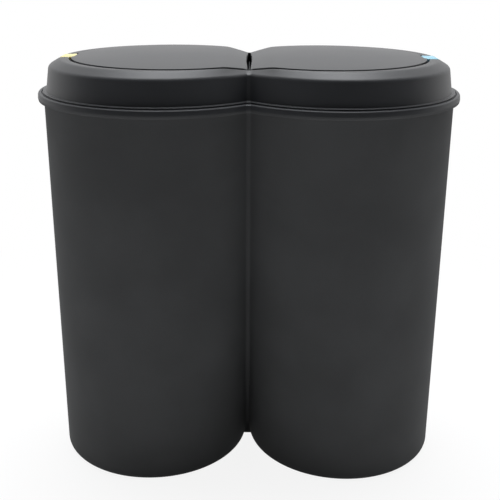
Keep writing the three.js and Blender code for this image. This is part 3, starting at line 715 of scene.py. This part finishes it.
def end_height(x, y):
    """Height of the top at the bin's ends: level, then sloping down to the lid's edge."""
    from_edge = CORNER_RADIUS - np.hypot(np.abs(x) - TOP_SPACING, y)
    return MOUTH_RISE - (MOUTH_RISE - CORNER_RISE) * eased_ramp(1 - from_edge / SLOPE_WIDTH, SHOULDER_EASE)


def opening_half(grow, start):
    """The edge of the right-hand opening, from the front end of the hinge line round to its rear end."""
    bow = arc((MOUTH_SPACING, 0), MOUTH_RADIUS + grow, np.linspace(-KINK_ANGLE, KINK_ANGLE, 600))
    start = np.array(start)
    return np.concatenate([start, bow, start[::-1] * [1, -1]])


# %% [markdown]
# ## The lid frame's ring
# From the outside in, the ring is a plug that hangs into the tub, a thin lip that sits on the rim, a skirt
# that draws in upwards, a rounded edge, a slope up to a level part round each opening, and a ledge for the
# flaps. The outer part follows the twin outline and the inner part the openings, with as many points matched
# by their share of the length, so the top between them is a blend of two rings.

# %% Lid frame sizes
PLUG_RADIUS = TOP_RADIUS - WALL - 1.2
PLUG_DEPTH = 9.0
PLUG_TAPER = 0.8
LIP_REACH = 4.2
LIP_HEIGHT = 1.5
SKIRT_RADIUS = TOP_RADIUS - WALL - 0.8
SKIRT_HEIGHT = 28.5
SKIRT_TAPER = 3.8
EDGE_RADIUS = 141.6
EDGE_RISE = 32.8
FRAME_WALL = 2.4
FLAP_THICKNESS = 2.4
LEDGE_DROP = FLAP_THICKNESS + 0.4
LEDGE_WIDTH = 6.9
LEDGE_THICKNESS = 2.0
LEDGE_ROUND = 0.3
LEDGE_END = -0.6
THROAT = 10.5
THROAT_RUN = 4.0
THROAT_WALL = 1.8
EDGE_ROUND = 3.0
LIP_ROUND = 1.6
SLOPE_SHARE = 0.96
UNDER_INSET, UNDER_DROP = 2.6, 3.0


def skirt_radius(up):
    return SKIRT_RADIUS - SKIRT_TAPER * up / SKIRT_HEIGHT


def twin_at(radius, up):
    """One ring of the twin outline at a height above the seat."""
    return twin_rings([radius], TOP_SPACING, [SEAT + up])


def smooth_step(value):
    """0 below 0, 1 above 1, and 3 t^2 - 2 t^3 between."""
    value = np.clip(value, 0, 1)
    return value * value * (3 - 2 * value)


# %% Matching the two outlines
half = opening_half(0, [(0, -WAIST_HALF), (WEB_HALF, -WAIST_HALF)])
openings = soften(np.concatenate([half[:-1], -half[:-1]]), 1.2)
corner_ring = twin_at(CORNER_RADIUS, CORNER_RISE)[0]
matched = shares(corner_ring[:, :2])
edge_path = look_up(openings, matched)
edge_out = look_up(sideways(openings), matched)


def opening_ring(grow, drop):
    """A ring that follows the openings' edge, grown outwards and dropped below it."""
    spots = edge_path + edge_out * np.asarray(grow, float).reshape(-1, 1)
    return np.column_stack([spots, SEAT + opening_height(spots[:, 0]) - drop])[None]


def blend(first, second, share):
    return first + (second - first) * share


print("opening edge", np.ptp(edge_path, axis=0).round(1), "mm")

# %% The ring
outside = rounded([
    (PLUG_RADIUS - 2.2, -PLUG_DEPTH, 0),
    (PLUG_RADIUS - PLUG_TAPER, -PLUG_DEPTH, 0.5),
    (PLUG_RADIUS, 0.0, 0.3),
    (SKIRT_RADIUS + LIP_REACH, 0.0, 0.4),
    (SKIRT_RADIUS + LIP_REACH, LIP_HEIGHT, 0.6),
    (skirt_radius(LIP_HEIGHT), LIP_HEIGHT, 0.8),
    (skirt_radius(SKIRT_HEIGHT), SKIRT_HEIGHT, 0),
])[1:]
rings = [twin_rings(outside[:, 0], TOP_SPACING, SEAT + outside[:, 1])]
slope_end = opening_ring(0, 0)[0]
across = np.linalg.norm((slope_end - corner_ring)[:, :2], axis=1, keepdims=True)
slope_width = np.minimum(SLOPE_WIDTH, SLOPE_SHARE * across)


def top_rings(distance):
    """Rings on the top at distances inwards from the lid's edge, on the slope or the level part.

    Where an opening comes nearer to the edge than the slope is wide, the slope runs nearly all the way to it.
    """
    drop = (slope_end - corner_ring)[:, 2:] * eased_ramp(1 - distance / slope_width, SHOULDER_EASE)
    spots = blend(corner_ring, slope_end, distance / across)
    spots[..., 2:] = slope_end[:, 2:] - drop
    return spots


def bend_rings(first, corner, last, steps):
    """Rings along a parabola that leaves the first ring towards the corner and reaches the last from it."""
    t = np.linspace(0, 1, steps + 1)[1:, None, None]
    return (1 - t) ** 2 * first + 2 * t * (1 - t) * corner + t**2 * last


top_start = EDGE_ROUND + 0 * across
top_end = across - LIP_ROUND
ledge = blend(LEDGE_END, LEDGE_WIDTH, smooth_step((np.abs(edge_path[:, 0]) - THROAT) / THROAT_RUN))
rings += [
    bend_rings(rings[0][-1], corner_ring, top_rings(top_start), 8),
    top_rings(blend(top_start, top_end, np.linspace(0, 1, 19)[1:, None, None])),
    bend_rings(top_rings(top_end), slope_end, opening_ring(0, LIP_ROUND)[0], 4),
    opening_ring(0, LEDGE_DROP),
    opening_ring(LEDGE_ROUND - ledge, LEDGE_DROP),
    opening_ring(-ledge, LEDGE_DROP + LEDGE_ROUND),
    opening_ring(-ledge, LEDGE_DROP + LEDGE_THICKNESS),
    opening_ring(THROAT_WALL, LEDGE_DROP + LEDGE_THICKNESS),
    top_rings(slope_width - UNDER_INSET)[None] - [0, 0, UNDER_DROP],
    twin_at(EDGE_RADIUS - 2.2, EDGE_RISE - 3.4),
    twin_at(skirt_radius(SKIRT_HEIGHT) - FRAME_WALL, SKIRT_HEIGHT - 2),
    twin_at(skirt_radius(4) - FRAME_WALL, 4),
    twin_at(PLUG_RADIUS - FRAME_WALL, 0),
    twin_at(PLUG_RADIUS - PLUG_TAPER - FRAME_WALL, 0.4 - PLUG_DEPTH),
]
lid = make_mesh("lid", np.concatenate(rings), looped=True)
print("lid ring:", len(lid.data.polygons), "faces")

# %% [markdown]
# ## Straight pieces
# Ribs, ears and guides are outlines carried straight along one axis. A bevel then rounds their edges.

# %% Prisms and columns
PLANES = {0: (1, 2), 1: (0, 2), 2: (0, 1)}


def ring_way(outline, axis):
    """The outline, turned round if needed so that its faces point outwards."""
    after = np.roll(outline, -1, axis=0)
    area = np.sum(outline[:, 0] * after[:, 1] - after[:, 0] * outline[:, 1])
    return outline[::-1] if (area < 0) != (axis == 1) else outline


def prism(name, outline, ends, axis=1, ease=0.0):
    """An outline in the plane across an axis, carried from one end to the other."""
    outline = ring_way(np.array(outline, float)[:, :2], axis)
    grid = np.empty((2, len(outline), 3))
    grid[:, :, PLANES[axis]] = outline
    grid[:, :, axis] = np.array(ends)[:, None]
    grid[:, :, 2] += SEAT
    obj = make_mesh(name, grid)
    return ease_edges(obj, ease) if ease else obj


def column_rings(outline, levels):
    """Rings of the outline, grown by each level's amount and lifted to its height, a number or a function."""
    rings = []
    for grow, height in levels:
        spots = outline + sideways(outline) * grow
        up = height(spots[:, 0], spots[:, 1]) if callable(height) else np.full(len(spots), height)
        rings.append(np.column_stack([spots, SEAT + up]))
    return np.stack(rings)


def column(name, outline, levels):
    return make_mesh(name, column_rings(ring_way(outline, 2), levels))


def below(height, drop):
    """A height function, lowered by an amount."""
    return lambda x, y: height(x, y) - drop


def flared(foot, height):
    """Levels of a cutter that widens softly where it comes out of a surface."""
    return [(0, foot), (0, below(height, 0.55)), (0.55, height), (1.6, below(height, -1.0))]


def rectangle(x_span, y_span, radius, steps=ARC_STEPS):
    """A rectangle with rounded corners, seen from above."""
    (x0, x1), (y0, y1) = x_span, y_span
    return rounded([(x0, y0, radius), (x1, y0, radius), (x1, y1, radius), (x0, y1, radius)], True, steps)


def mirrored(obj, name):
    """The same piece for the other side of the bin, with its faces turned to point outwards again."""
    mesh = obj.data.copy()
    mesh.transform(Matrix.Diagonal((-1, 1, 1, 1)))
    mesh.flip_normals()
    mesh.name = name
    return add_object(name, mesh)


def both_sides(obj):
    return [obj, mirrored(obj, obj.name + "_twin")]


# %% [markdown]
# ## Beam, hinge ears and button wells
# Under the gap between the flaps runs a beam with a middle rib. It carries four pairs of ears with the bores
# for the hinge pins. At each end of the lid a well guides the push button. It all belongs to the ring's
# moulding, so it is joined to the ring, and the hollows are cut out last.

# %% Beam and hinge ears
BEAM_RISE = 8.0
BEAM_REACH = 130.0
BEAM_HALF = 22.0
BEAM_PLATE = BEAM_RISE + 2.4
BEAM_EDGE = BEAM_RISE + 7.0
RIB_HALF = 0.9
RIB_TOP = BEAM_RISE + 15.0
HALF_WALL = FRAME_WALL / 2
INSIDE_RADIUS = EDGE_RADIUS - 14.4
HINGE_REACH = 7.5
HINGE_RISE = 32.7
HINGE = (HINGE_REACH, HINGE_RISE)
PIN_RADIUS = 1.1
BORE_RADIUS = PIN_RADIUS + 0.35
PIN_HALF = 62.8
EAR_RADIUS = 2.5
EAR_WIDTH = 6.0
OUTER_EAR = 57.6
INNER_EAR = 24.9

beam_half = [
    (BEAM_HALF, BEAM_RISE, 0.5),
    (BEAM_HALF, BEAM_EDGE, 0.6),
    (BEAM_HALF - 2, BEAM_EDGE, 0.6),
    (BEAM_HALF - 2, BEAM_PLATE, 1.5),
    (RIB_HALF, BEAM_PLATE, 1.5),
    (RIB_HALF, RIB_TOP, 0.7),
]
beam_outline = rounded(beam_half + [(-x, up, radius) for x, up, radius in beam_half[::-1]], closed=True)
beam = prism("beam", beam_outline, (-BEAM_REACH, BEAM_REACH))
inside_skirt = make_mesh("inside", np.concatenate([
    twin_at(skirt_radius(1) - HALF_WALL, 1),
    twin_at(skirt_radius(SKIRT_HEIGHT) - HALF_WALL, SKIRT_HEIGHT),
    twin_at(EDGE_RADIUS - HALF_WALL, EDGE_RISE - 0.6),
    twin_at(INSIDE_RADIUS, MOUTH_RISE - 1.4),
]))
combine(beam, [inside_skirt], "INTERSECT")

ear_arc = arc(HINGE, EAR_RADIUS, np.linspace(np.radians(8), np.radians(316), 26))
ear_stem = rounded([
    (9.3, BEAM_RISE + 1, 0),
    (13.3, BEAM_RISE + 1, 0),
    (13.3, HINGE_RISE, 1.6),
    (10.2, HINGE_RISE, 0),
])
ear_outline = np.concatenate([ear_stem, ear_arc])
ears = []
for middle in (-OUTER_EAR, -INNER_EAR, INNER_EAR, OUTER_EAR):
    ends = (middle - EAR_WIDTH / 2, middle + EAR_WIDTH / 2)
    ears += both_sides(prism("ear", ear_outline, ends, ease=0.35))
unite(lid, [beam] + ears)


def pin_bore():
    return prism("bore", circle(HINGE, BORE_RADIUS), (-PIN_HALF - 1, PIN_HALF + 1))


bores = both_sides(pin_bore())
print("ears:", len(ears))

# %% Button wells
BUTTON_SPAN = (219.8, 237.6)
BUTTON_HALF = 15.0
BUTTON_GAP = 0.6
WELL_SPAN = (BUTTON_SPAN[0] - BUTTON_GAP, BUTTON_SPAN[1] + BUTTON_GAP)
WELL_HALF = BUTTON_HALF + BUTTON_GAP
WELL_STEP = 1.8
WELL_WALL = 2.0
TRAY_RISE = 8.8
TRAY_TOP = 11.0
WELL_FOOT = TRAY_TOP + 0.3
WELL_STOP = 23.0
SCREW_SPOTS = [(228.7, -23.9), (228.7, 23.9)]
POST_RADIUS = 3.6
PILOT_RADIUS = 1.75
PILOT_TOP = 23.8
WINDOW_TOP = 14.4

wide_half = WELL_HALF + WELL_STEP
well_outline = rectangle((WELL_SPAN[0] - WELL_WALL, WELL_SPAN[1] + WELL_WALL),
                         (-wide_half - WELL_WALL, wide_half + WELL_WALL), 2.0)


def well_top(x, y):
    """Halfway into the top's wall, or halfway into the ledge under the flap."""
    in_ledge = np.hypot(np.abs(x) - MOUTH_SPACING, y) < MOUTH_RADIUS
    return np.where(in_ledge, MOUTH_RISE - LEDGE_DROP - 1.0, end_height(x, y) - 1.6)


wells = both_sides(column("well", well_outline, [(0, WELL_FOOT), (0, well_top)]))
for spot in SCREW_SPOTS:
    wells += both_sides(column("screw_post", circle(spot, POST_RADIUS), [(0, WELL_FOOT), (0, well_top)]))
unite(lid, wells)

# %% Hollows of the wells
mouth_outline = rectangle(WELL_SPAN, (-WELL_HALF, WELL_HALF), 2.6)
hollows = both_sides(column("well_hollow", mouth_outline, flared(WELL_STOP - 0.1, end_height)))
shapes = [
    (rectangle(WELL_SPAN, (-wide_half, wide_half), 1.0), WELL_STOP),
    (rectangle((WELL_SPAN[0] - 5, WELL_SPAN[0] + 1), (-12.6, 12.6), 0.6), WINDOW_TOP),
]
shapes += [(circle(spot, PILOT_RADIUS, 20), PILOT_TOP) for spot in SCREW_SPOTS]
for outline, top in shapes:
    hollows += both_sides(column("hollow", outline, [(0, WELL_FOOT - 1), (0, top)]))
carve(lid, bores + hollows)
fit(lid, "bin", "lid", "lid_frame")

# %% [markdown]
# ## The flaps
# Each flap is a thin shallow dome with a fine rounded edge. Along the hinge line the edge is rounded more and
# turns down over the pin, so that it can roll past the other flap. The panel is a stack of rings: small ones
# in the middle that grow to the outline, over the edge, and back again underneath. Knuckles, a stiffening rib
# and the catch are joined on, and a notch leaves room for the button.

# %% Flap outline and edge
FLAP_GAP = 2.8
CORNER_GAP = 4.2
SLOT_HALF = 3.1
SLOT_NARROW = 1.5
NARROW_START, NARROW_RUN = 15, 62
FLAP_MIDDLE = (89.0, 0.0)
FLAP_POINTS = 560
LIP_WIDTH = 1.4
LIP_DEPTH = HINGE_RISE - 1.0

hinge_start = (SLOT_HALF, -WAIST_HALF + CORNER_GAP)
flap_path = soften(opening_half(-FLAP_GAP, [hinge_start]), 1.0)
flap_at = np.arange(FLAP_POINTS) / FLAP_POINTS
flap_edge = look_up(flap_path, flap_at)
flap_out = look_up(sideways(flap_path), flap_at)
# The rounding is small round the opening and large along the hinge line.
near_hinge = 1 - smooth_step((flap_edge[:, 0] - SLOT_HALF - 0.8) / 3.0)
# Towards the ends of the hinge line the flaps come closer.
at_ends = smooth_step((np.abs(flap_edge[:, 1]) - NARROW_START) / NARROW_RUN)
flap_edge[:, 0] -= SLOT_NARROW * near_hinge * at_ends
flap_round = 0.5 + 1.8 * near_hinge


def flap_ring(inset, drop):
    """A ring of the flap, drawn in from its edge and dropped below its domed top."""
    spots = flap_edge - flap_out * np.reshape(inset, (-1, 1))
    return np.column_stack([spots, SEAT + flap_height(spots[:, 0], spots[:, 1]) - drop])


def shrunk(inset, drop, scales):
    """Rings that shrink from an inset edge towards the middle of the flap."""
    spots = flap_edge - flap_out * np.reshape(inset, (-1, 1))
    spots = FLAP_MIDDLE + (spots - FLAP_MIDDLE) * scales[:, None, None]
    up = flap_height(spots[..., 0], spots[..., 1]) - drop
    return np.concatenate([spots, SEAT + up[..., None]], axis=-1)


# %% Flap panel
panel_scales = 1 - (1 - np.linspace(0.01, 1, 30)) ** 1.25
edge_turn = np.linspace(0, np.pi / 2, 8)[1:]
over_edge = [flap_ring(flap_round * (1 - np.sin(t)), flap_round * (1 - np.cos(t))) for t in edge_turn]
wall_top = flap_height(flap_edge[:, 0], flap_edge[:, 1])
wall_foot = blend(np.full(FLAP_POINTS, FLAP_THICKNESS + 0.15), wall_top - LIP_DEPTH, near_hinge)
panel_rings = np.concatenate([
    shrunk(LIP_WIDTH, FLAP_THICKNESS, panel_scales),
    flap_ring(LIP_WIDTH - 0.15, wall_foot - 0.12)[None],
    flap_ring(LIP_WIDTH - 0.4, wall_foot)[None],
    flap_ring(0.25, wall_foot)[None],
    flap_ring(0.0, wall_foot - 0.25)[None],
    np.stack(over_edge[::-1]),
    shrunk(flap_round, 0.0, panel_scales[::-1]),
])
flap = make_mesh("right_flap_panel", panel_rings)
print("panel:", len(flap.data.polygons), "faces")

# %% Knuckles, rib and catch
KNUCKLE_WIDTH = 8.0
KNUCKLE_GAP = 0.5
KNUCKLE_RADIUS = EAR_RADIUS - 0.2
CATCH_FACE = WELL_SPAN[0] - WELL_WALL - 5.4
CATCH_HALF = 8.0
CATCH_TOP = 10.9
CATCH_FOOT = CATCH_TOP - 3.0
STEM_HALF = 1.81
RIB_RADIUS = 114.6
RIB_FOOT = 33.0

knuckles = []
knuckle_arc = arc(HINGE, KNUCKLE_RADIUS, np.linspace(np.radians(142), np.radians(398), 26))
beside_ear = EAR_WIDTH / 2 + KNUCKLE_GAP
for near in (INNER_EAR + beside_ear, OUTER_EAR - beside_ear - KNUCKLE_WIDTH):
    stem_top = flap_height(HINGE_REACH, near + KNUCKLE_WIDTH) - 1.3
    stem = [(HINGE_REACH + STEM_HALF, stem_top), (HINGE_REACH - STEM_HALF, stem_top)]
    outline = np.concatenate([knuckle_arc, stem])
    for ends in ((near, near + KNUCKLE_WIDTH), (-near - KNUCKLE_WIDTH, -near)):
        knuckles.append(prism("knuckle", outline, ends, ease=0.3))

rib_turn = np.radians(125) * np.linspace(-1, 1, 161)
rib_section = np.array([(0, 0.5), (0.5, 0), (1.5, 0), (2, 0.5), (2, 1), (0, 1)])
rib_radius = RIB_RADIUS + rib_section[:, 0]
rib_x = MOUTH_SPACING + np.cos(rib_turn)[:, None] * rib_radius
rib_y = np.sin(rib_turn)[:, None] * rib_radius
rib_foot = RIB_FOOT + rib_section[:, 1]
rib_up = np.where(rib_section[:, 1] == 1, flap_height(rib_x, rib_y) - 1.4, rib_foot)
rib = make_mesh("rib", np.stack([rib_x, rib_y, SEAT + rib_up], axis=-1)[:, ::-1])

tongue = prism("tongue", rectangle((CATCH_FACE - 2, CATCH_FACE), (CATCH_FOOT, MOUTH_RISE - 1.2), 0.4),
               (-CATCH_HALF, CATCH_HALF), ease=0.3)
hook_outline = rounded([
    (CATCH_FACE - 0.6, CATCH_FOOT, 0.1),
    (CATCH_FACE + 2.0, CATCH_FOOT, 0.3),
    (CATCH_FACE + 3.4, CATCH_FOOT + 1.2, 0.4),
    (CATCH_FACE + 3.4, CATCH_TOP, 0.3),
    (CATCH_FACE - 0.6, CATCH_TOP, 0.1),
], closed=True, steps=3)
hook = prism("hook", hook_outline, (-CATCH_HALF, CATCH_HALF), ease=0.25)
unite(flap, knuckles + [rib, tongue, hook])

# %% Bore and notch
notch_outline = rectangle((WELL_SPAN[0] - 0.6, 240), (-WELL_HALF - 0.6, WELL_HALF + 0.6), 3.2)
notch = column("notch", notch_outline, flared(25.0, flap_height))
carve(flap, [pin_bore(), notch])
fit(mirrored(flap, "left_flap_panel"), "left_flap", "lid", "left_flap")
fit(flap, "right_flap", "lid", "right_flap")

# %% [markdown]
# ## The buttons
# A button is a short hollow block with a soft pillow-like top that stands just proud of the lid's slope. A
# flange at its foot keeps it in the well, two wedges push the latch outwards, and a pad takes the spring.

# %% Button body
FLANGE_RISE = 20.6
BUTTON_PROUD = 0.6
BUTTON_WALL = 1.8
PILLOW = 0.8
SPRING_REACH = 231.1
SPRING_FOOT = 11.35
SPRING_LENGTH = 20.0
SPRING_HEAD = SPRING_FOOT + SPRING_LENGTH
WEDGE_FOOT = TRAY_TOP + 3.9


def button_top(x, y):
    return end_height(x, y) + BUTTON_PROUD


button_outline = rectangle(BUTTON_SPAN, (-BUTTON_HALF, BUTTON_HALF), 2.4, steps=8)
button_middle = np.array([np.mean(BUTTON_SPAN), 0.0])
edge_levels = [(0, FLANGE_RISE)] + [(-inset, below(button_top, drop)) for inset, drop in (
    (0, 1.5), (0.12, 0.95), (0.45, 0.45), (0.95, 0.14), (1.6, 0.02))]
inner_edge = button_outline - sideways(button_outline) * 1.6
cap_scale = np.linspace(1, 0.02, 12)[1:, None, None]
cap_spots = button_middle + (inner_edge - button_middle) * cap_scale
cap_up = button_top(cap_spots[..., 0], cap_spots[..., 1]) + PILLOW * (1 - cap_scale[..., 0] ** 2)
cap_rings = np.concatenate([cap_spots, SEAT + cap_up[..., None]], axis=-1)
button_rings = [column_rings(button_outline, edge_levels), cap_rings]
button = make_mesh("right_push_button", np.concatenate(button_rings))

flange_outline = rectangle(BUTTON_SPAN, (-BUTTON_HALF - 1.6, BUTTON_HALF + 1.6), 0.8)
unite(button, [column("flange", flange_outline, [(0, FLANGE_RISE), (0, FLANGE_RISE + 2.0)])])
hollow_outline = rectangle((BUTTON_SPAN[0] + BUTTON_WALL, BUTTON_SPAN[1] - BUTTON_WALL),
                           (-BUTTON_HALF + BUTTON_WALL, BUTTON_HALF - BUTTON_WALL), 1.2)
hollow_levels = [(0, FLANGE_RISE - 1), (0, below(button_top, BUTTON_WALL + 0.6))]
carve(button, [column("button_hollow", hollow_outline, hollow_levels)])

# %% Wedges and pad
wedge_start = BUTTON_SPAN[0] + 1.0
wedge_outline = [
    (wedge_start, WEDGE_FOOT),
    (wedge_start + 10, WEDGE_FOOT + 10),
    (wedge_start + 10, end_height(wedge_start + 10, 0) - 0.8),
    (wedge_start, MOUTH_RISE - 0.8),
]
inside_parts = [prism("wedge", wedge_outline, ends) for ends in ((7, 12), (-12, -7))]
pad_outline = rectangle((SPRING_REACH - 3.6, SPRING_REACH + 3.6), (-3.6, 3.6), 1.2)
inside_parts.append(column("pad", pad_outline, [(0, SPRING_HEAD + 0.35), (0, below(button_top, 1.4))]))
unite(button, inside_parts)
fit(mirrored(button, "left_push_button"), "left_button", "yellow_button", "left_button")
fit(button, "right_button", "blue_button", "right_button")

# %% [markdown]
# ## Latches and trays
# These small flat parts are already right in the CAD model, except that their edges are sharp. A copy of each
# is cleaned up, its flat faces are joined again, and its edges get a small bevel.

# %% Eased copies
FLAT = np.radians(2)


def eased_copy(node, name, ease):
    """A CAD part's mesh with doubled corners merged, flat faces joined and edges bevelled."""
    obj = add_object(name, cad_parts[node].data.copy())
    obj.data.materials.clear()
    weld = obj.modifiers.new("weld", "WELD")
    weld.merge_threshold = 0.002 * MM
    flat = obj.modifiers.new("flat", "DECIMATE")
    flat.decimate_type = "DISSOLVE"
    flat.angle_limit = FLAT
    settle(obj)
    return ease_edges(obj, ease)


for side in ("left", "right"):
    fit(eased_copy(f"{side}_latch", f"{side}_latch_slide", 0.25), f"{side}_latch", "latch", f"{side}_latch")
    fit(eased_copy(f"{side}_latch_tray", f"{side}_tray", 0.3), "bin", "latch", f"{side}_latch_tray")

# %% [markdown]
# ## Pins, springs and screws
# The hardware is drawn steel. A spring is a round wire carried along a path: a helix with two straight legs
# that leave it in line with its turns.

# %% Wire
def tube(name, path, radius, reference, sides=12):
    """A round wire along a path, whose circles have one axis across both the path and the reference."""
    ahead = np.gradient(path, axis=0)
    ahead = ahead / np.linalg.norm(ahead, axis=1, keepdims=True)
    side = np.cross(ahead, reference)
    side = side / np.linalg.norm(side, axis=1, keepdims=True)
    up = np.cross(ahead, side)
    angle = np.linspace(0, 2 * np.pi, sides, endpoint=False)[None, :, None]
    grid = path[:, None] + radius * (np.cos(angle) * side[:, None] + np.sin(angle) * up[:, None])
    return make_mesh(name, grid + [0, 0, SEAT])


# %% Hinge pins and springs
HINGE_WIRE = 0.55
HINGE_COIL = 2.4
COIL_TURNS = 7
COIL_HALF = 9.0
LEG_END = (41.0, 11.0)

pin = prism("right_pin", circle(HINGE, PIN_RADIUS), (-PIN_HALF, PIN_HALF), ease=0.25)
fit(mirrored(pin, "left_pin"), "bin", "steel", "left_hinge_pin")
fit(pin, "bin", "steel", "right_hinge_pin")

coil_turn = np.linspace(-np.pi / 2, (COIL_TURNS * 2 - 0.5) * np.pi + np.radians(12), 40 * COIL_TURNS)
coil = np.stack([
    HINGE_REACH + HINGE_COIL * np.cos(coil_turn),
    np.linspace(-COIL_HALF, COIL_HALF, len(coil_turn)),
    HINGE_RISE + HINGE_COIL * np.sin(coil_turn),
], axis=-1)
leg_share = np.linspace(0, 1, 20)[:, None]
fixed_leg = blend(np.array([3.0, -COIL_HALF - 2.0, HINGE_RISE - HINGE_COIL]), coil[0], leg_share)[:-1]
leg_foot = np.array([LEG_END[0], LEG_END[1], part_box("right_hinge_spring")[1].z / MM - SEAT - 1.0])
flap_leg = blend(coil[-1], leg_foot, leg_share)[1:]
spring = tube("right_torsion_spring", np.concatenate([fixed_leg, coil, flap_leg]), HINGE_WIRE, (0, 1, 0))
fit(mirrored(spring, "left_torsion_spring"), "left_flap", "steel", "left_hinge_spring")
fit(spring, "right_flap", "steel", "right_hinge_spring")

# %% Button springs
BUTTON_WIRE = 0.45
BUTTON_COIL = 3.0
SPRING_TURNS = 6

turns = np.linspace(0, 2 * np.pi * SPRING_TURNS, 40 * SPRING_TURNS + 1)
rise = SPRING_FOOT + BUTTON_WIRE + (SPRING_LENGTH - 2 * BUTTON_WIRE) * turns / turns[-1]
helix = np.stack([SPRING_REACH + BUTTON_COIL * np.cos(turns), BUTTON_COIL * np.sin(turns), rise], axis=-1)
right_coil = tube("right_return_spring", helix, BUTTON_WIRE, (0, 0, 1), sides=10)
left_coil = mirrored(right_coil, "left_return_spring")
for side, obj in (("left", left_coil), ("right", right_coil)):
    fit(obj, "bin", "steel", f"{side}_button_spring")
    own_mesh(obj)

# %% Screws
HEAD_RADIUS = 3.0
SCREW_RADIUS = 1.4
SCREW_LENGTH = 13.0
HEAD_HEIGHT = 1.9
THREAD_DEPTH = 0.28
SLOT_HALVES = (0.45, 1.9)
SLOT_DEPTH = 1.0
screw_foot = SEAT + TRAY_RISE - HEAD_HEIGHT - 0.3
thread = np.linspace(0, 1, 15)[1:-1]
thread_up = HEAD_HEIGHT + 0.6 + thread * (SCREW_LENGTH - 2)
thread_radius = SCREW_RADIUS - THREAD_DEPTH * (np.arange(len(thread)) % 2)
screw_profile = np.concatenate([
    rounded([
        (1.2, 0, 0),
        (HEAD_RADIUS - 0.4, 0, 0.6),
        (HEAD_RADIUS, 0.8, 0.4),
        (HEAD_RADIUS, HEAD_HEIGHT, 0.2),
        (SCREW_RADIUS, HEAD_HEIGHT, 0),
    ], steps=3),
    np.column_stack([thread_radius, thread_up]),
    [(SCREW_RADIUS, HEAD_HEIGHT + SCREW_LENGTH - 1.2), (0.2, HEAD_HEIGHT + SCREW_LENGTH)],
])
screw_profile[:, 1] += screw_foot
slot_foot = screw_foot - SEAT
for side, way in (("left", -1), ("right", 1)):
    for end, (x, y) in zip(("front", "rear"), SCREW_SPOTS):
        spot = (way * x, y)
        screw = lathe(screw_profile, spot, f"{side}_{end}_screw", points=24)
        slots = []
        for a, b in (SLOT_HALVES, SLOT_HALVES[::-1]):
            slot = rectangle((spot[0] - a, spot[0] + a), (y - b, y + b), 0.1, 1)
            slots.append(column("slot", slot, [(0, slot_foot - 1), (0, slot_foot + SLOT_DEPTH)]))
        carve(screw, [unite(slots[0], [slots[1]])])
        fit(screw, "bin", "steel", f"{side}_tray_screw_{end}")
